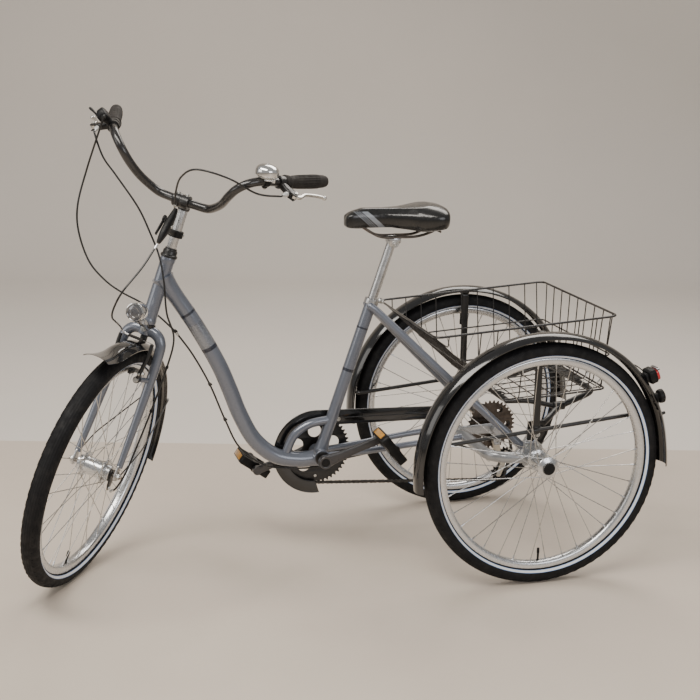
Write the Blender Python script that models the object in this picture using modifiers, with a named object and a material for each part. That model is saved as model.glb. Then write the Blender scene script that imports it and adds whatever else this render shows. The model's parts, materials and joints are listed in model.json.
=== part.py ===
"""Adult tricycle: one steered front wheel, two rear wheels, a wire basket and a hub-side derailleur.

Metres, +Z up, the rider faces -Y and the rider's left is +X.  Everything hangs from one empty on the
ground under the rear axle; the steered front end hangs from a second empty on the steering axis.
The front wheel is turned to the left, which is the pose that the trike is parked in.
"""
import math

import bmesh
import bpy
from mathutils import Matrix, Vector

# ---- driving dimensions ------------------------------------------------------------------------
REAR_AXLE_Y = 0.4880            # rear axle behind the model's origin, which is the middle of its box
WHEEL_R = 0.3265                # 47-559 tyre, outer radius
TYRE_R = 0.0235                 # radius of the tyre's round section
WHEEL_STEPS = 32                # facets around a wheel, one of them flat on the ground
SPOKES = 36
RIM_INNER_R = 0.2685
RIM_EDGE_R = 0.2855
HALF_TRACK = 0.3173             # from the middle plane to each rear wheel
GAP = 0.0003                    # left between pieces that touch

HEAD_ANGLE = math.radians(71.6)
STEER_ANGLE = math.radians(58.8)
STEER_BASE = Vector((0.0, -1.1027, 0.3069))   # foot of the steering axis, level with the front hub
FORK_RAKE = 0.051
HEAD_LOW, HEAD_HIGH = 0.394, 0.573            # the head tube's ends along the steering axis
HEAD_R, HEAD_BORE = 0.0185, 0.0145
STEERER_R = 0.0127

BB = Vector((0.0, -0.520, 0.290))             # bottom bracket centre
BB_SHELL_R, BB_SHELL_W, BB_BORE = 0.0215, 0.070, 0.0090
CRANK_LENGTH = 0.168
CRANK_ANGLE = math.radians(19.0)              # left crank, above straight back
CRANK_X, PEDAL_X = 0.066, 0.135
PEDAL_TILT = {"left": -52.0, "right": -35.0}   # the treads as they hang
CHAIN_X = -0.0500                             # chain line
CHAIN_PITCH = 0.0127
CHAIN_HALF = 0.0040                           # half of the belt that stands for the links
RING_TEETH, SPROCKET_TEETH = 48, 28
RING_R = CHAIN_PITCH / (2 * math.sin(math.pi / RING_TEETH))
SPROCKET_R = CHAIN_PITCH / (2 * math.sin(math.pi / SPROCKET_TEETH))
PULLEY_R = 0.0215
PULLEY = Vector((CHAIN_X, 0.030, 0.178))      # lower tension pulley

MAIN_R, SEAT_R, SEAT_BORE = 0.0215, 0.0160, 0.0138
LOOP_R, STAY_R, CHAINSTAY_R, CROSS_R = 0.0120, 0.0110, 0.0110, 0.0150
SEAT_TUBE_TOP = Vector((0.0, -0.3760, 0.7190))
POST_R = 0.0127
POST_TOP = 0.158                              # saddle clamp above the seat tube, along the tube
BAR_R, GRIP_R = 0.0111, 0.0158
CABLE_R = 0.0025
FENDER_R, FENDER_W = 0.3520, 0.062

BAR_HALF = [(0.000, -0.029, 0.722), (0.034, -0.020, 0.722), (0.068, -0.019, 0.724), (0.094, -0.038, 0.736),
            (0.116, -0.064, 0.752), (0.136, -0.095, 0.775), (0.156, -0.113, 0.799), (0.178, -0.112, 0.820),
            (0.200, -0.094, 0.835), (0.220, -0.063, 0.843), (0.236, -0.028, 0.849), (0.268, 0.040, 0.863),
            (0.300, 0.103, 0.880)]            # half of the handlebar, in the steering frame
GRIP_START = Vector((0.238, -0.024, 0.8500))
GRIP_END = Vector((0.3025, 0.108, 0.8815))

# ---- colours: base colour, roughness, metallic --------------------------------------------------
GREY_PAINT = ((0.30, 0.32, 0.35), 0.30, 0.55)
BLACK_GLOSS = ((0.012, 0.012, 0.013), 0.22, 0.0)
BLACK_SATIN = ((0.020, 0.020, 0.021), 0.45, 0.0)
RUBBER = ((0.022, 0.022, 0.024), 0.75, 0.0)
ALLOY = ((0.62, 0.62, 0.61), 0.28, 1.0)
CHROME = ((0.80, 0.80, 0.80), 0.10, 1.0)
STEEL = ((0.35, 0.33, 0.30), 0.40, 1.0)


# ---- scene helpers -------------------------------------------------------------------------------
def clear_scene():
    for old in list(bpy.data.objects):
        bpy.data.objects.remove(old, do_unlink=True)


def new_collection(name):
    group = bpy.data.collections.new(name)
    bpy.context.scene.collection.children.link(group)
    return group


def empty(name, parent=None, location=(0, 0, 0), rotation=None):
    holder = bpy.data.objects.new(name, None)
    PARTS.objects.link(holder)
    holder.parent = parent
    matrix = Matrix.Translation(Vector(location))
    if rotation is not None:
        matrix = matrix @ rotation.to_4x4()
    holder.matrix_basis = matrix
    return holder


def link(obj):
    PARTS.objects.link(obj)
    return obj


def place(obj, name, finish, parent, smooth=35.0):
    """Names a finished piece, gives it its own material and hangs it from its parent."""
    obj.name = name
    obj.data.name = name
    colour, roughness, metallic = finish
    material = bpy.data.materials.new(name)
    material.use_nodes = True
    shader = material.node_tree.nodes["Principled BSDF"]
    shader.inputs["Base Color"].default_value = (*colour, 1.0)
    shader.inputs["Roughness"].default_value = roughness
    shader.inputs["Metallic"].default_value = metallic
    obj.data.materials.clear()
    obj.data.materials.append(material)
    obj.data.shade_smooth()
    obj.data.set_sharp_from_angle(angle=math.radians(smooth))
    obj.parent = parent
    return obj


def apply(obj):
    """Turns a curve or a mesh with modifiers into a plain closed mesh at the same place."""
    bpy.context.view_layer.update()
    evaluated = obj.evaluated_get(bpy.context.evaluated_depsgraph_get())
    mesh = bpy.data.meshes.new_from_object(evaluated)
    work = bmesh.new()
    work.from_mesh(mesh)
    bmesh.ops.remove_doubles(work, verts=work.verts, dist=0.00001)
    bmesh.ops.recalc_face_normals(work, faces=work.faces)
    work.to_mesh(mesh)
    work.free()
    result = link(bpy.data.objects.new(obj.name, mesh))
    result.matrix_world = obj.matrix_world
    bpy.data.objects.remove(obj, do_unlink=True)
    return result


def combine(base, others, operation):
    """Joins other pieces to a base, or cuts them out of it, and removes them."""
    for other in others:
        change = base.modifiers.new(operation.lower(), "BOOLEAN")
        change.operation = operation
        change.solver = "EXACT"
        change.object = other
    result = apply(base)
    for other in others:
        bpy.data.objects.remove(other, do_unlink=True)
    return result


def join(base, *others):
    return combine(base, others, "UNION")


def cut(base, *others):
    return combine(base, others, "DIFFERENCE")


# ---- shapes --------------------------------------------------------------------------------------
def tube(points, radius, sides=2, radii=None):
    """A round bar along points; sides 2 gives 8 facets, 3 gives 10 and 4 gives 12."""
    curve = bpy.data.curves.new("tube", "CURVE")
    curve.dimensions = "3D"
    curve.bevel_depth = radius
    curve.bevel_resolution = sides
    curve.use_fill_caps = True
    spline = curve.splines.new("POLY")
    spline.points.add(len(points) - 1)
    for index, (spot, point) in enumerate(zip(spline.points, points)):
        spot.co = (*point, 1.0)
        spot.radius = radii[index] if radii else 1.0
    return apply(link(bpy.data.objects.new("tube", curve)))


def smooth_path(points, count):
    """Evenly spread points on a smooth curve through the route's own points."""
    route = [Vector(p) for p in points]
    route = [2 * route[0] - route[1], *route, 2 * route[-1] - route[-2]]
    fine = []
    for a, b, c, d in zip(route, route[1:], route[2:], route[3:]):
        for step in range(16):
            t = step / 16
            fine.append(0.5 * (2 * b + (c - a) * t + (2 * a - 5 * b + 4 * c - d) * t ** 2
                               + (3 * b - a - 3 * c + d) * t ** 3))
    fine.append(route[-2])
    lengths = [0.0]
    for a, b in zip(fine, fine[1:]):
        lengths.append(lengths[-1] + (b - a).length)
    spread = []
    k = 0
    for index in range(count):
        target = lengths[-1] * index / (count - 1)
        while k < len(lengths) - 2 and lengths[k + 1] < target:
            k += 1
        share = (target - lengths[k]) / (lengths[k + 1] - lengths[k])
        spread.append(fine[k].lerp(fine[k + 1], min(share, 1.0)))
    return spread


def rod(start, end, radius, sides=12, radius_end=None):
    """A straight cylinder or cone between two points."""
    start, end = Vector(start), Vector(end)
    along = end - start
    mesh = bpy.data.meshes.new("rod")
    work = bmesh.new()
    bmesh.ops.create_cone(work, cap_ends=True, segments=sides, radius1=radius,
                          radius2=radius if radius_end is None else radius_end, depth=along.length)
    work.to_mesh(mesh)
    work.free()
    piece = link(bpy.data.objects.new("rod", mesh))
    turn = Vector((0, 0, 1)).rotation_difference(along.normalized())
    piece.matrix_world = Matrix.LocRotScale((start + end) / 2, turn, None)
    return bake_place(piece)


def block(centre, size, rotation=None, bevel=0.0):
    mesh = bpy.data.meshes.new("block")
    work = bmesh.new()
    bmesh.ops.create_cube(work, size=1.0, matrix=Matrix.Diagonal((*size, 1.0)))
    work.to_mesh(mesh)
    work.free()
    piece = link(bpy.data.objects.new("block", mesh))
    if bevel:
        rounding = piece.modifiers.new("bevel", "BEVEL")
        rounding.width = bevel
        rounding.segments = 2
    turn = rotation.to_4x4() if rotation is not None else Matrix()
    piece.matrix_world = Matrix.Translation(Vector(centre)) @ turn
    return bake_place(apply(piece))


def bake_place(piece):
    """Moves an object's placing into its mesh, so that it can be parented by its own frame."""
    piece.data.transform(piece.matrix_world)
    piece.matrix_world = Matrix()
    return piece


def turned(profile, steps, frame=None, phase=0.0):
    """A closed outline of (radius, height) turned once around local Z, then put in a frame."""
    mesh = bpy.data.meshes.new("profile")
    on_axis = [abs(r) < 1e-9 for r, _ in profile]
    verts = [(r * math.cos(phase), r * math.sin(phase), h) for r, h in profile]
    edges = [(i, (i + 1) % len(verts)) for i in range(len(verts))]
    edges = [(a, b) for a, b in edges if not (on_axis[a] and on_axis[b])]
    mesh.from_pydata(verts, edges, [])
    piece = link(bpy.data.objects.new("turned", mesh))
    screw = piece.modifiers.new("screw", "SCREW")
    screw.steps = steps
    screw.render_steps = steps
    screw.use_merge_vertices = True
    screw.merge_threshold = 0.00001
    piece = apply(piece)
    piece.matrix_world = frame if frame is not None else Matrix()
    return bake_place(piece)


def plate(outline, thickness, frame, holes=()):
    """A flat outline with holes, filled and given a thickness, then put in a frame."""
    curve = bpy.data.curves.new("plate", "CURVE")
    curve.dimensions = "2D"
    curve.fill_mode = "BOTH"
    curve.extrude = thickness / 2
    for loop in (outline, *holes):
        spline = curve.splines.new("POLY")
        spline.points.add(len(loop) - 1)
        spline.use_cyclic_u = True
        for spot, (x, y) in zip(spline.points, loop):
            spot.co = (x, y, 0.0, 1.0)
    piece = apply(link(bpy.data.objects.new("plate", curve)))
    piece.matrix_world = frame
    return bake_place(piece)


def circle(radius, count, centre=(0.0, 0.0), start=0.0):
    turn = 2 * math.pi / count
    return [(centre[0] + radius * math.cos(start + turn * i), centre[1] + radius * math.sin(start + turn * i))
            for i in range(count)]


def frame_on(origin, along, side=(1, 0, 0)):
    """A frame whose Z runs along a direction and whose X is as near to side as it can be."""
    z = Vector(along).normalized()
    x = (Vector(side) - z * z.dot(Vector(side))).normalized()
    y = z.cross(x)
    matrix = Matrix((x, y, z)).transposed().to_4x4()
    matrix.translation = Vector(origin)
    return matrix


# ---- wheels --------------------------------------------------------------------------------------
# A wheel is made around local Z.  Its radii are those of the circles inside its facets, so that a
# facet rests on the ground at the true radius.
FACET = 1.0 / math.cos(math.pi / WHEEL_STEPS)


def wheel_ring(profile, phase):
    """A ring around local Z with the middle of a facet at the phase angle."""
    grown = [(r * FACET, h) for r, h in profile]
    return turned(grown, WHEEL_STEPS, phase=phase + math.pi / WHEEL_STEPS)


def tyre_shape(phase):
    """An open casing: round outside, hollow inside, its two beads on the rim's edges."""
    middle, wall = WHEEL_R - TYRE_R, 0.0040
    outer = [math.radians(a) for a in (-108, -80, -45, -16, 0, 16, 45, 80, 108)]
    inner = [math.radians(a) for a in (100, 50, 0, -50, -100)]
    profile = [(middle + TYRE_R * math.cos(a), TYRE_R * math.sin(a)) for a in outer]
    profile += [(0.2866, 0.0140), (0.2866, 0.0100)]
    profile += [(middle + (TYRE_R - wall) * math.cos(a), (TYRE_R - wall) * math.sin(a)) for a in inner]
    profile += [(0.2866, -0.0100), (0.2866, -0.0140)]
    return wheel_ring(profile, phase)


def rim_shape(phase):
    half = [(RIM_EDGE_R, 0.0125), (0.2730, 0.0118), (RIM_INNER_R, 0.0060)]
    floor = [(0.2790, -0.0080), (0.2790, 0.0080)]
    profile = [(r, -h) for r, h in half] + [(r, h) for r, h in reversed(half)]
    return wheel_ring(profile + list(reversed(floor)), phase)


def spoke_shapes(flange_r, flange_half):
    """Crossed spokes from both flanges to the rim, held apart by the flange's thickness."""
    spokes = []
    lead = math.radians(60)
    for index in range(SPOKES):
        side = 1 if index % 2 else -1
        swing = 1 if index // 2 % 2 else -1
        rim_angle = 2 * math.pi * (index + 0.5) / SPOKES
        hub_angle = rim_angle + swing * lead
        start = Vector((flange_r * math.cos(hub_angle), flange_r * math.sin(hub_angle),
                        side * flange_half + swing * 0.0022))
        end_r = RIM_INNER_R + 0.0030
        end = Vector((end_r * math.cos(rim_angle), end_r * math.sin(rim_angle), side * 0.0030))
        spokes.append((start, end))
    return spokes


def spoke_bundle(flange_r, flange_half, radius=0.0014):
    mesh = bpy.data.meshes.new("spokes")
    work = bmesh.new()
    for start, end in spoke_shapes(flange_r, flange_half):
        along = end - start
        turn = Vector((0, 0, 1)).rotation_difference(along.normalized())
        where = Matrix.LocRotScale((start + end) / 2, turn, None)
        bmesh.ops.create_cone(work, cap_ends=True, segments=3, radius1=radius, radius2=radius,
                              depth=along.length, matrix=where)
    work.to_mesh(mesh)
    work.free()
    return link(bpy.data.objects.new("spokes", mesh))


def laced_wheel(hub_profile, flange_r, flange_half, phase):
    """Hub, spokes and rim as one laced wheel around local Z."""
    hub = turned(hub_profile, 14)
    wheel = join(hub, spoke_bundle(flange_r, flange_half))
    return join(wheel, rim_shape(phase))


def hub_outline(barrel, flange, flange_half, flange_t, ends, bore):
    """Outline of a hub with two flanges: (radius, height) from one end round to the other."""
    low, high = ends
    near, far = flange_half - flange_t / 2, flange_half + flange_t / 2
    return [(bore, low), (barrel * 0.9, low), (flange, -far), (flange, -near), (barrel, -near + 0.004),
            (barrel, near - 0.004), (flange, near), (flange, far), (barrel * 0.9, high), (bore, high)]


# ---- frame ---------------------------------------------------------------------------------------
AXIS = Vector((0.0, math.cos(HEAD_ANGLE), math.sin(HEAD_ANGLE)))
SEAT_AXIS = (SEAT_TUBE_TOP - BB).normalized()
MAIN_PATH = [(0, -0.945, 0.802), (0, -0.928, 0.782), (0, -0.860, 0.678), (0, -0.800, 0.570),
             (0, -0.768, 0.4945), (0, -0.739, 0.4185), (0, -0.701, 0.348), (0, -0.645, 0.298),
             (0, -0.585, 0.282), (0, -0.520, 0.282)]
MAIN_COUNT = 20                               # points along the main tube
CROSS_HALF = 0.2550                           # dropouts' distance from the middle plane
CROSS_Y, AXLE_Z = -0.112, WHEEL_R


def on_axis(distance):
    return STEER_BASE + AXIS * distance


def make_main_frame():
    head = turned([(HEAD_BORE, 0), (HEAD_R, 0), (HEAD_R, HEAD_HIGH - HEAD_LOW), (HEAD_BORE, HEAD_HIGH - HEAD_LOW)],
                  20, frame_on(on_axis(HEAD_LOW), AXIS))
    place(head, "head_tube", GREY_PAINT, REAR)

    main = tube(smooth_path(MAIN_PATH, MAIN_COUNT), MAIN_R, sides=3)
    main = cut(main, rod(on_axis(0.3), on_axis(0.7), HEAD_R + GAP, 20),
               rod(BB - Vector((0.1, 0, 0)), BB + Vector((0.1, 0, 0)), BB_SHELL_R + GAP, 20))
    place(keep_largest(main), "main_tube", GREY_PAINT, REAR)

    shell = turned([(BB_BORE, -BB_SHELL_W / 2), (BB_SHELL_R, -BB_SHELL_W / 2), (BB_SHELL_R, BB_SHELL_W / 2),
                    (BB_BORE, BB_SHELL_W / 2)], 20, frame_on(BB, (1, 0, 0), (0, 0, 1)))
    place(shell, "bottom_bracket_shell", GREY_PAINT, REAR)

    length = (SEAT_TUBE_TOP - BB).length
    top = BB + SEAT_AXIS * length
    seat = rod(BB + SEAT_AXIS * 0.010, top, SEAT_R, 16)
    collar = rod(top - SEAT_AXIS * 0.0135, top - SEAT_AXIS * 0.0012, SEAT_R + 0.0030, 16)
    ear = block(top - SEAT_AXIS * 0.0075 + Vector((0, 0.022, 0)), (0.016, 0.022, 0.011), bevel=0.002)
    bolt = rod(top - SEAT_AXIS * 0.0075 + Vector((-0.018, 0.027, 0)),
               top - SEAT_AXIS * 0.0075 + Vector((0.018, 0.027, 0)), 0.0040, 8)
    seat = join(seat, collar, ear, bolt)
    seat = cut(seat, rod(top - SEAT_AXIS * 0.290, top + SEAT_AXIS * 0.05, SEAT_BORE, 16),
               rod(BB - Vector((0.1, 0, 0)), BB + Vector((0.1, 0, 0)), BB_SHELL_R + GAP, 20), main_cutter())
    place(keep_largest(seat), "seat_tube", GREY_PAINT, REAR)

    loop_path = [(0, -0.450, 0.392), (0, -0.500, 0.387), (0, -0.550, 0.378), (0, -0.590, 0.350),
                 (0, -0.610, 0.310), (0, -0.616, 0.270)]
    loop = cut(tube(smooth_path(loop_path, 12), LOOP_R, sides=3), main_cutter(), seat_cutter())
    place(keep_largest(loop), "loop_tube", GREY_PAINT, REAR)


def main_cutter():
    return tube(smooth_path(MAIN_PATH, MAIN_COUNT), MAIN_R + GAP, sides=3)


def seat_cutter():
    return rod(BB, SEAT_TUBE_TOP + SEAT_AXIS * 0.1, SEAT_R + GAP, 16)


def keep_largest(obj):
    """Keeps the largest body of a cut piece and drops the slivers beyond its neighbours."""
    work = bmesh.new()
    work.from_mesh(obj.data)
    work.verts.ensure_lookup_table()
    unseen = set(work.verts)
    groups = []
    while unseen:
        stack = [unseen.pop()]
        group = set(stack)
        while stack:
            vert = stack.pop()
            for edge in vert.link_edges:
                other = edge.other_vert(vert)
                if other in unseen:
                    unseen.discard(other)
                    group.add(other)
                    stack.append(other)
        groups.append(group)
    groups.sort(key=lambda g: box_size(g), reverse=True)
    for group in groups[1:]:
        bmesh.ops.delete(work, geom=list(group), context="VERTS")
    work.to_mesh(obj.data)
    work.free()
    return obj


def box_size(verts):
    spans = [[v.co[axis] for v in verts] for axis in range(3)]
    return sum(max(span) - min(span) for span in spans)


def make_stays():
    for side, word in ((1, "left"), (-1, "right")):
        top = (side * 0.0235, -0.3790, 0.6960)
        bend = (side * 0.030, -0.340, 0.6600)
        foot = (side * 0.200, -0.036, 0.3640)
        stay = tube(smooth_path([top, bend, (side * 0.115, -0.190, 0.512), foot, (side * 0.212, -0.012, 0.3410)], 12),
                    STAY_R, sides=2)
        stay = cut(stay, seat_cutter(), cross_tube_shape(GAP))
        place(keep_largest(stay), "seat_stay_" + word, GREY_PAINT, REAR)

        start = (side * 0.0260, BB.y + 0.010, BB.z + 0.004)
        chain_stay = tube(smooth_path([start, (side * 0.0355, -0.400, 0.302), (side * 0.045, -0.250, 0.317),
                                       (side * 0.045, CROSS_Y, AXLE_Z)], 10), CHAINSTAY_R * 0.8, sides=2)
        chain_stay = cut(chain_stay, rod(BB - Vector((0.1, 0, 0)), BB + Vector((0.1, 0, 0)), BB_SHELL_R + GAP, 20),
                         cross_tube_shape(GAP))
        place(keep_largest(chain_stay), "chain_stay_" + word, GREY_PAINT, REAR)


def cross_tube_shape(extra=0.0):
    """The bent tube that joins the two dropouts, made fatter by a gap when it is used to cut."""
    half = [(0.000, CROSS_Y), (0.175, CROSS_Y), (0.212, CROSS_Y + 0.006), (0.238, CROSS_Y + 0.028),
            (0.251, CROSS_Y + 0.062), (CROSS_HALF, -0.018)]
    path = [(-x, y, AXLE_Z) for x, y in reversed(half[1:])] + [(x, y, AXLE_Z) for x, y in half]
    return tube(path, CROSS_R + extra, sides=2)


def make_rear_subframe():
    """Cross tube, both dropouts, the middle bearing bracket and the left wheel's fixed axle, in one piece."""
    frame = cross_tube_shape()
    outline = [(-0.030, -0.022), (0.014, -0.022), (0.024, -0.006), (0.024, 0.030), (0.010, 0.044),
               (-0.030, 0.044)]
    pieces = []
    for side in (1, -1):
        pieces.append(plate(outline, 0.006, side_frame(side * (CROSS_HALF + 0.003), AXLE_Z)))
        boss = ((side * (CROSS_HALF - 0.006), 0, AXLE_Z), (side * (CROSS_HALF + 0.012), 0, AXLE_Z))
        pieces.append(rod(*boss, 0.0145, 14))
    middle = [(CROSS_Y, -0.012), (-0.010, -0.014), (-0.004, -0.050), (0.014, -0.050), (0.016, 0.010), (0.000, 0.016),
              (CROSS_Y, 0.012)]
    pieces.append(plate(middle, 0.006, side_frame(-0.008, AXLE_Z)))
    pieces.append(rod((-0.016, 0, AXLE_Z), (0.012, 0, AXLE_Z), 0.0150, 14))
    frame = join(frame, *pieces)
    frame = cut(frame, rod((-0.4, 0, AXLE_Z), (0.0095, 0, AXLE_Z), 0.0083, 14))
    stub = rod((0.2400, 0, AXLE_Z), (HALF_TRACK + 0.0470, 0, AXLE_Z), 0.0080, 14)
    nut = rod((0.2340, 0, AXLE_Z), (CROSS_HALF, 0, AXLE_Z), 0.0120, 6)
    place(join(frame, stub, nut), "rear_subframe", GREY_PAINT, REAR)


def side_frame(x, z, y=0.0):
    """A frame for a plate that stands across X: its own X runs back and its own Y runs up."""
    matrix = Matrix(((0, 0, 1, x), (1, 0, 0, y), (0, 1, 0, z), (0, 0, 0, 1)))
    return matrix


def make_rear_wheels():
    flange_half, ends = 0.0330, (-0.050, 0.046)
    for side, word in ((1, "left"), (-1, "right")):
        hub = empty("rear_hub_" + word, REAR, (side * HALF_TRACK, 0, AXLE_Z),
                    Matrix(((0, 0, side), (0, 1, 0), (-side, 0, 0))))
        outline = hub_outline(0.0185, 0.0290, flange_half, 0.003, ends, 0.0083)
        place(tyre_shape(0.0), "tyre_rear_" + word, RUBBER, hub)
        place(laced_wheel(outline, 0.0255, flange_half, 0.0), "wheel_rear_" + word, ALLOY, hub)
    axle = rod((-HALF_TRACK - 0.0470, 0, AXLE_Z), (0.0085, 0, AXLE_Z), 0.0080, 16)
    place(axle, "drive_axle", STEEL, REAR)


def make_freewheel():
    """The freewheel's body with its smallest, middle and largest cogs as plain discs under the chain."""
    under = SPROCKET_R - 0.0015
    profile = [(0.0086, -0.0680), (0.0230, -0.0680), (0.0260, -0.0600), (0.0380, -0.0600), (0.0380, -0.0580),
               (0.0260, -0.0560), (0.0260, CHAIN_X - 0.0005), (under, CHAIN_X - 0.0005), (under, CHAIN_X + 0.0015),
               (0.0260, CHAIN_X + 0.0020), (0.0260, -0.0420), (0.0680, -0.0420), (0.0680, -0.0402), (0.0200, -0.0385),
               (0.0200, -0.0330), (0.0086, -0.0330)]
    place(turned(profile, 20, frame_on((0, 0, AXLE_Z), (1, 0, 0), (0, 1, 0))), "freewheel", STEEL, REAR)


def tangent_run(centre_a, radius_a, centre_b, radius_b, side):
    """The straight line that touches two circles on the same side, in the (y, z) plane."""
    delta = centre_b - centre_a
    base = math.atan2(delta.y, delta.x)
    lean = math.acos(max(-1.0, min(1.0, (radius_a - radius_b) / delta.length)))
    angle = base + side * lean
    normal = Vector((math.cos(angle), math.sin(angle)))
    return centre_a + normal * radius_a, centre_b + normal * radius_b, angle


def arc_points(centre, radius, start, end, turn, step):
    """Points on a circle from one angle to another, turning one way."""
    sweep = (end - start) % (2 * math.pi) if turn > 0 else -((start - end) % (2 * math.pi))
    count = max(2, int(abs(sweep) / step))
    return [centre + Vector((math.cos(start + sweep * i / count), math.sin(start + sweep * i / count))) * radius
            for i in range(1, count)]


def chain_loop():
    """The chain's middle line in the (y, z) plane: ring, sprocket top, then round the lower pulley."""
    ring = Vector((BB.y, BB.z))
    cog = Vector((0.0, AXLE_Z))
    pulley = Vector((PULLEY.y, PULLEY.z))
    ring_r, cog_r, pulley_r = RING_R + CHAIN_HALF, SPROCKET_R + CHAIN_HALF, PULLEY_R + CHAIN_HALF
    a0, b0, up = tangent_run(ring, ring_r, cog, cog_r, 1)
    c0, d0, low = tangent_run(ring, ring_r, pulley, pulley_r, -1)
    guide = Vector((0.047, 0.232))
    guide_r = 0.0215
    points = [a0, b0]
    points += arc_points(cog, cog_r, up, math.radians(-12), -1, 0.25)
    points += [cog + Vector((math.cos(math.radians(-12)), math.sin(math.radians(-12)))) * cog_r]
    points += [guide + Vector((guide_r + 0.004, 0.010)), guide + Vector((guide_r + 0.002, -0.012))]
    points += [pulley + Vector((math.cos(0.2), math.sin(0.2))) * pulley_r]
    points += arc_points(pulley, pulley_r, 0.2, low, -1, 0.45)
    points += [d0, c0]
    points += arc_points(ring, ring_r, low, up, -1, 0.20)
    return points


def make_chain():
    """The chain as one flat belt of the chain's own width and height, closed into a loop."""
    middle = chain_loop()
    count = len(middle)
    half = CHAIN_HALF
    outer, inner = [], []
    for index, point in enumerate(middle):
        along = (middle[(index + 1) % count] - middle[index - 1]).normalized()
        normal = Vector((-along.y, along.x))
        outer.append(tuple(point + normal * half))
        inner.append(tuple(point - normal * half))
    belt = plate(outer, 0.0060, side_frame(CHAIN_X + 0.0005, 0.0), [inner])
    place(belt, "chain", STEEL, REAR, smooth=50)


def make_fender(name, centre, start, end, radius, flap=None):
    """A crowned strip bent round the wheel from one angle to the other, as a thin shell."""
    section = [(-0.5, -0.0120), (-0.42, -0.0020), (0.0, 0.0), (0.42, -0.0020), (0.5, -0.0120)]
    steps = 16
    mesh = bpy.data.meshes.new("fender")
    work = bmesh.new()
    rows = []
    for index in range(steps + 1):
        angle = start + (end - start) * index / steps
        row = []
        for across, sink in section:
            r = radius + sink
            extra = flap(index / steps) if flap else (0.0, 1.0)
            row.append(work.verts.new((across * FENDER_W * extra[1], centre[1] + (r + extra[0]) * math.cos(angle),
                                       centre[2] + (r + extra[0]) * math.sin(angle))))
        rows.append(row)
    for low, high in zip(rows, rows[1:]):
        for a, b, c, d in zip(low, low[1:], high[1:], high):
            work.faces.new((a, b, c, d))
    bmesh.ops.recalc_face_normals(work, faces=work.faces)
    bmesh.ops.translate(work, verts=work.verts, vec=(centre[0], 0, 0))
    work.to_mesh(mesh)
    work.free()
    piece = link(bpy.data.objects.new(name, mesh))
    shell = piece.modifiers.new("shell", "SOLIDIFY")
    shell.thickness = 0.0018
    shell.offset = 0.0
    return apply(piece)


def make_rear_fenders():
    for side, word in ((1, "left"), (-1, "right")):
        shell = make_fender("fender", (side * HALF_TRACK, 0, AXLE_Z), math.radians(-4), math.radians(188), FENDER_R)
        place(shell, "fender_" + word, BLACK_GLOSS, REAR)
        x = side * 0.2790
        ends = ((x, -0.3290, 0.3760), (x, 0.3165, 0.4368))
        rail = tube([ends[0], (x, 0.0, 0.4075), ends[1]], 0.0055)
        bar = block((side * 0.2745, -0.004, 0.5300), (0.004, 0.020, 0.266))
        top = block((side * 0.2870, -0.004, 0.6615), (0.029, 0.020, 0.003))
        pins = [rod(end, (side * 0.2880, *end[1:]), 0.0040, 8) for end in ends]
        place(join(rail, bar, top, *pins), "fender_stay_" + word, BLACK_SATIN, REAR)
    wheel = Vector((HALF_TRACK, 0, AXLE_Z))
    outward = Vector((0, 0.813, 0.582)).normalized()
    lower = Vector((0, 0.905, 0.425)).normalized()
    lamp = turned([(0, 0), (0.0190, 0), (0.0200, 0.012), (0.0170, 0.020), (0.0150, 0.030), (0, 0.030)], 14,
                  frame_on(wheel + outward * (FENDER_R + 0.0060), outward))
    reflector = rod(wheel + lower * (FENDER_R + 0.0060), wheel + lower * (FENDER_R + 0.0160), 0.0175, 14)
    strap = block_between(wheel + outward * (FENDER_R + 0.0055), wheel + lower * (FENDER_R + 0.0055), 0.016,
                          (outward + lower).normalized() * 0.0020)
    place(join(lamp, reflector, strap), "rear_lamp", BLACK_SATIN, REAR)


# ---- carrier and basket --------------------------------------------------------------------------
RIM_FRONT, RIM_REAR = Vector((0.244, -0.279, 0.661)), Vector((0.244, 0.229, 0.696))
FLOOR_FRONT, FLOOR_REAR = Vector((0.214, -0.070, 0.470)), Vector((0.214, 0.222, 0.488))


def make_basket():
    """Open-topped basket with sloping front wall: an outer and an inner skin joined at the rim."""
    wall = 0.0040
    corners = []
    for low_f, low_r, shrink, lift in ((FLOOR_FRONT, FLOOR_REAR, 0.0, 0.0), (FLOOR_FRONT, FLOOR_REAR, wall, wall)):
        corners.append(((low_f.x - shrink, low_f.y + shrink * 1.4, low_f.z + lift),
                        (low_r.x - shrink, low_r.y - shrink, low_r.z + lift)))
    rims = [((RIM_FRONT.x - shrink, RIM_FRONT.y + shrink * 1.8, RIM_FRONT.z), (RIM_REAR.x - shrink, RIM_REAR.y - shrink,
            RIM_REAR.z)) for shrink in (0.0, wall)]
    mesh = bpy.data.meshes.new("basket")
    work = bmesh.new()

    def loop(front, rear):
        return [work.verts.new((-front[0], front[1], front[2])), work.verts.new(front),
                work.verts.new(rear), work.verts.new((-rear[0], rear[1], rear[2]))]

    out_low, in_low = loop(*corners[0]), loop(*corners[1])
    out_high, in_high = loop(*rims[0]), loop(*rims[1])
    work.faces.new(out_low)
    work.faces.new(in_low)
    for low, high in ((out_low, out_high), (in_low, in_high), (out_high, in_high)):
        for i in range(4):
            j = (i + 1) % 4
            work.faces.new((low[i], low[j], high[j], high[i]))
    bmesh.ops.recalc_face_normals(work, faces=work.faces)
    work.to_mesh(mesh)
    work.free()
    place(link(bpy.data.objects.new("basket", mesh)), "basket", BLACK_SATIN, REAR)


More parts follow.
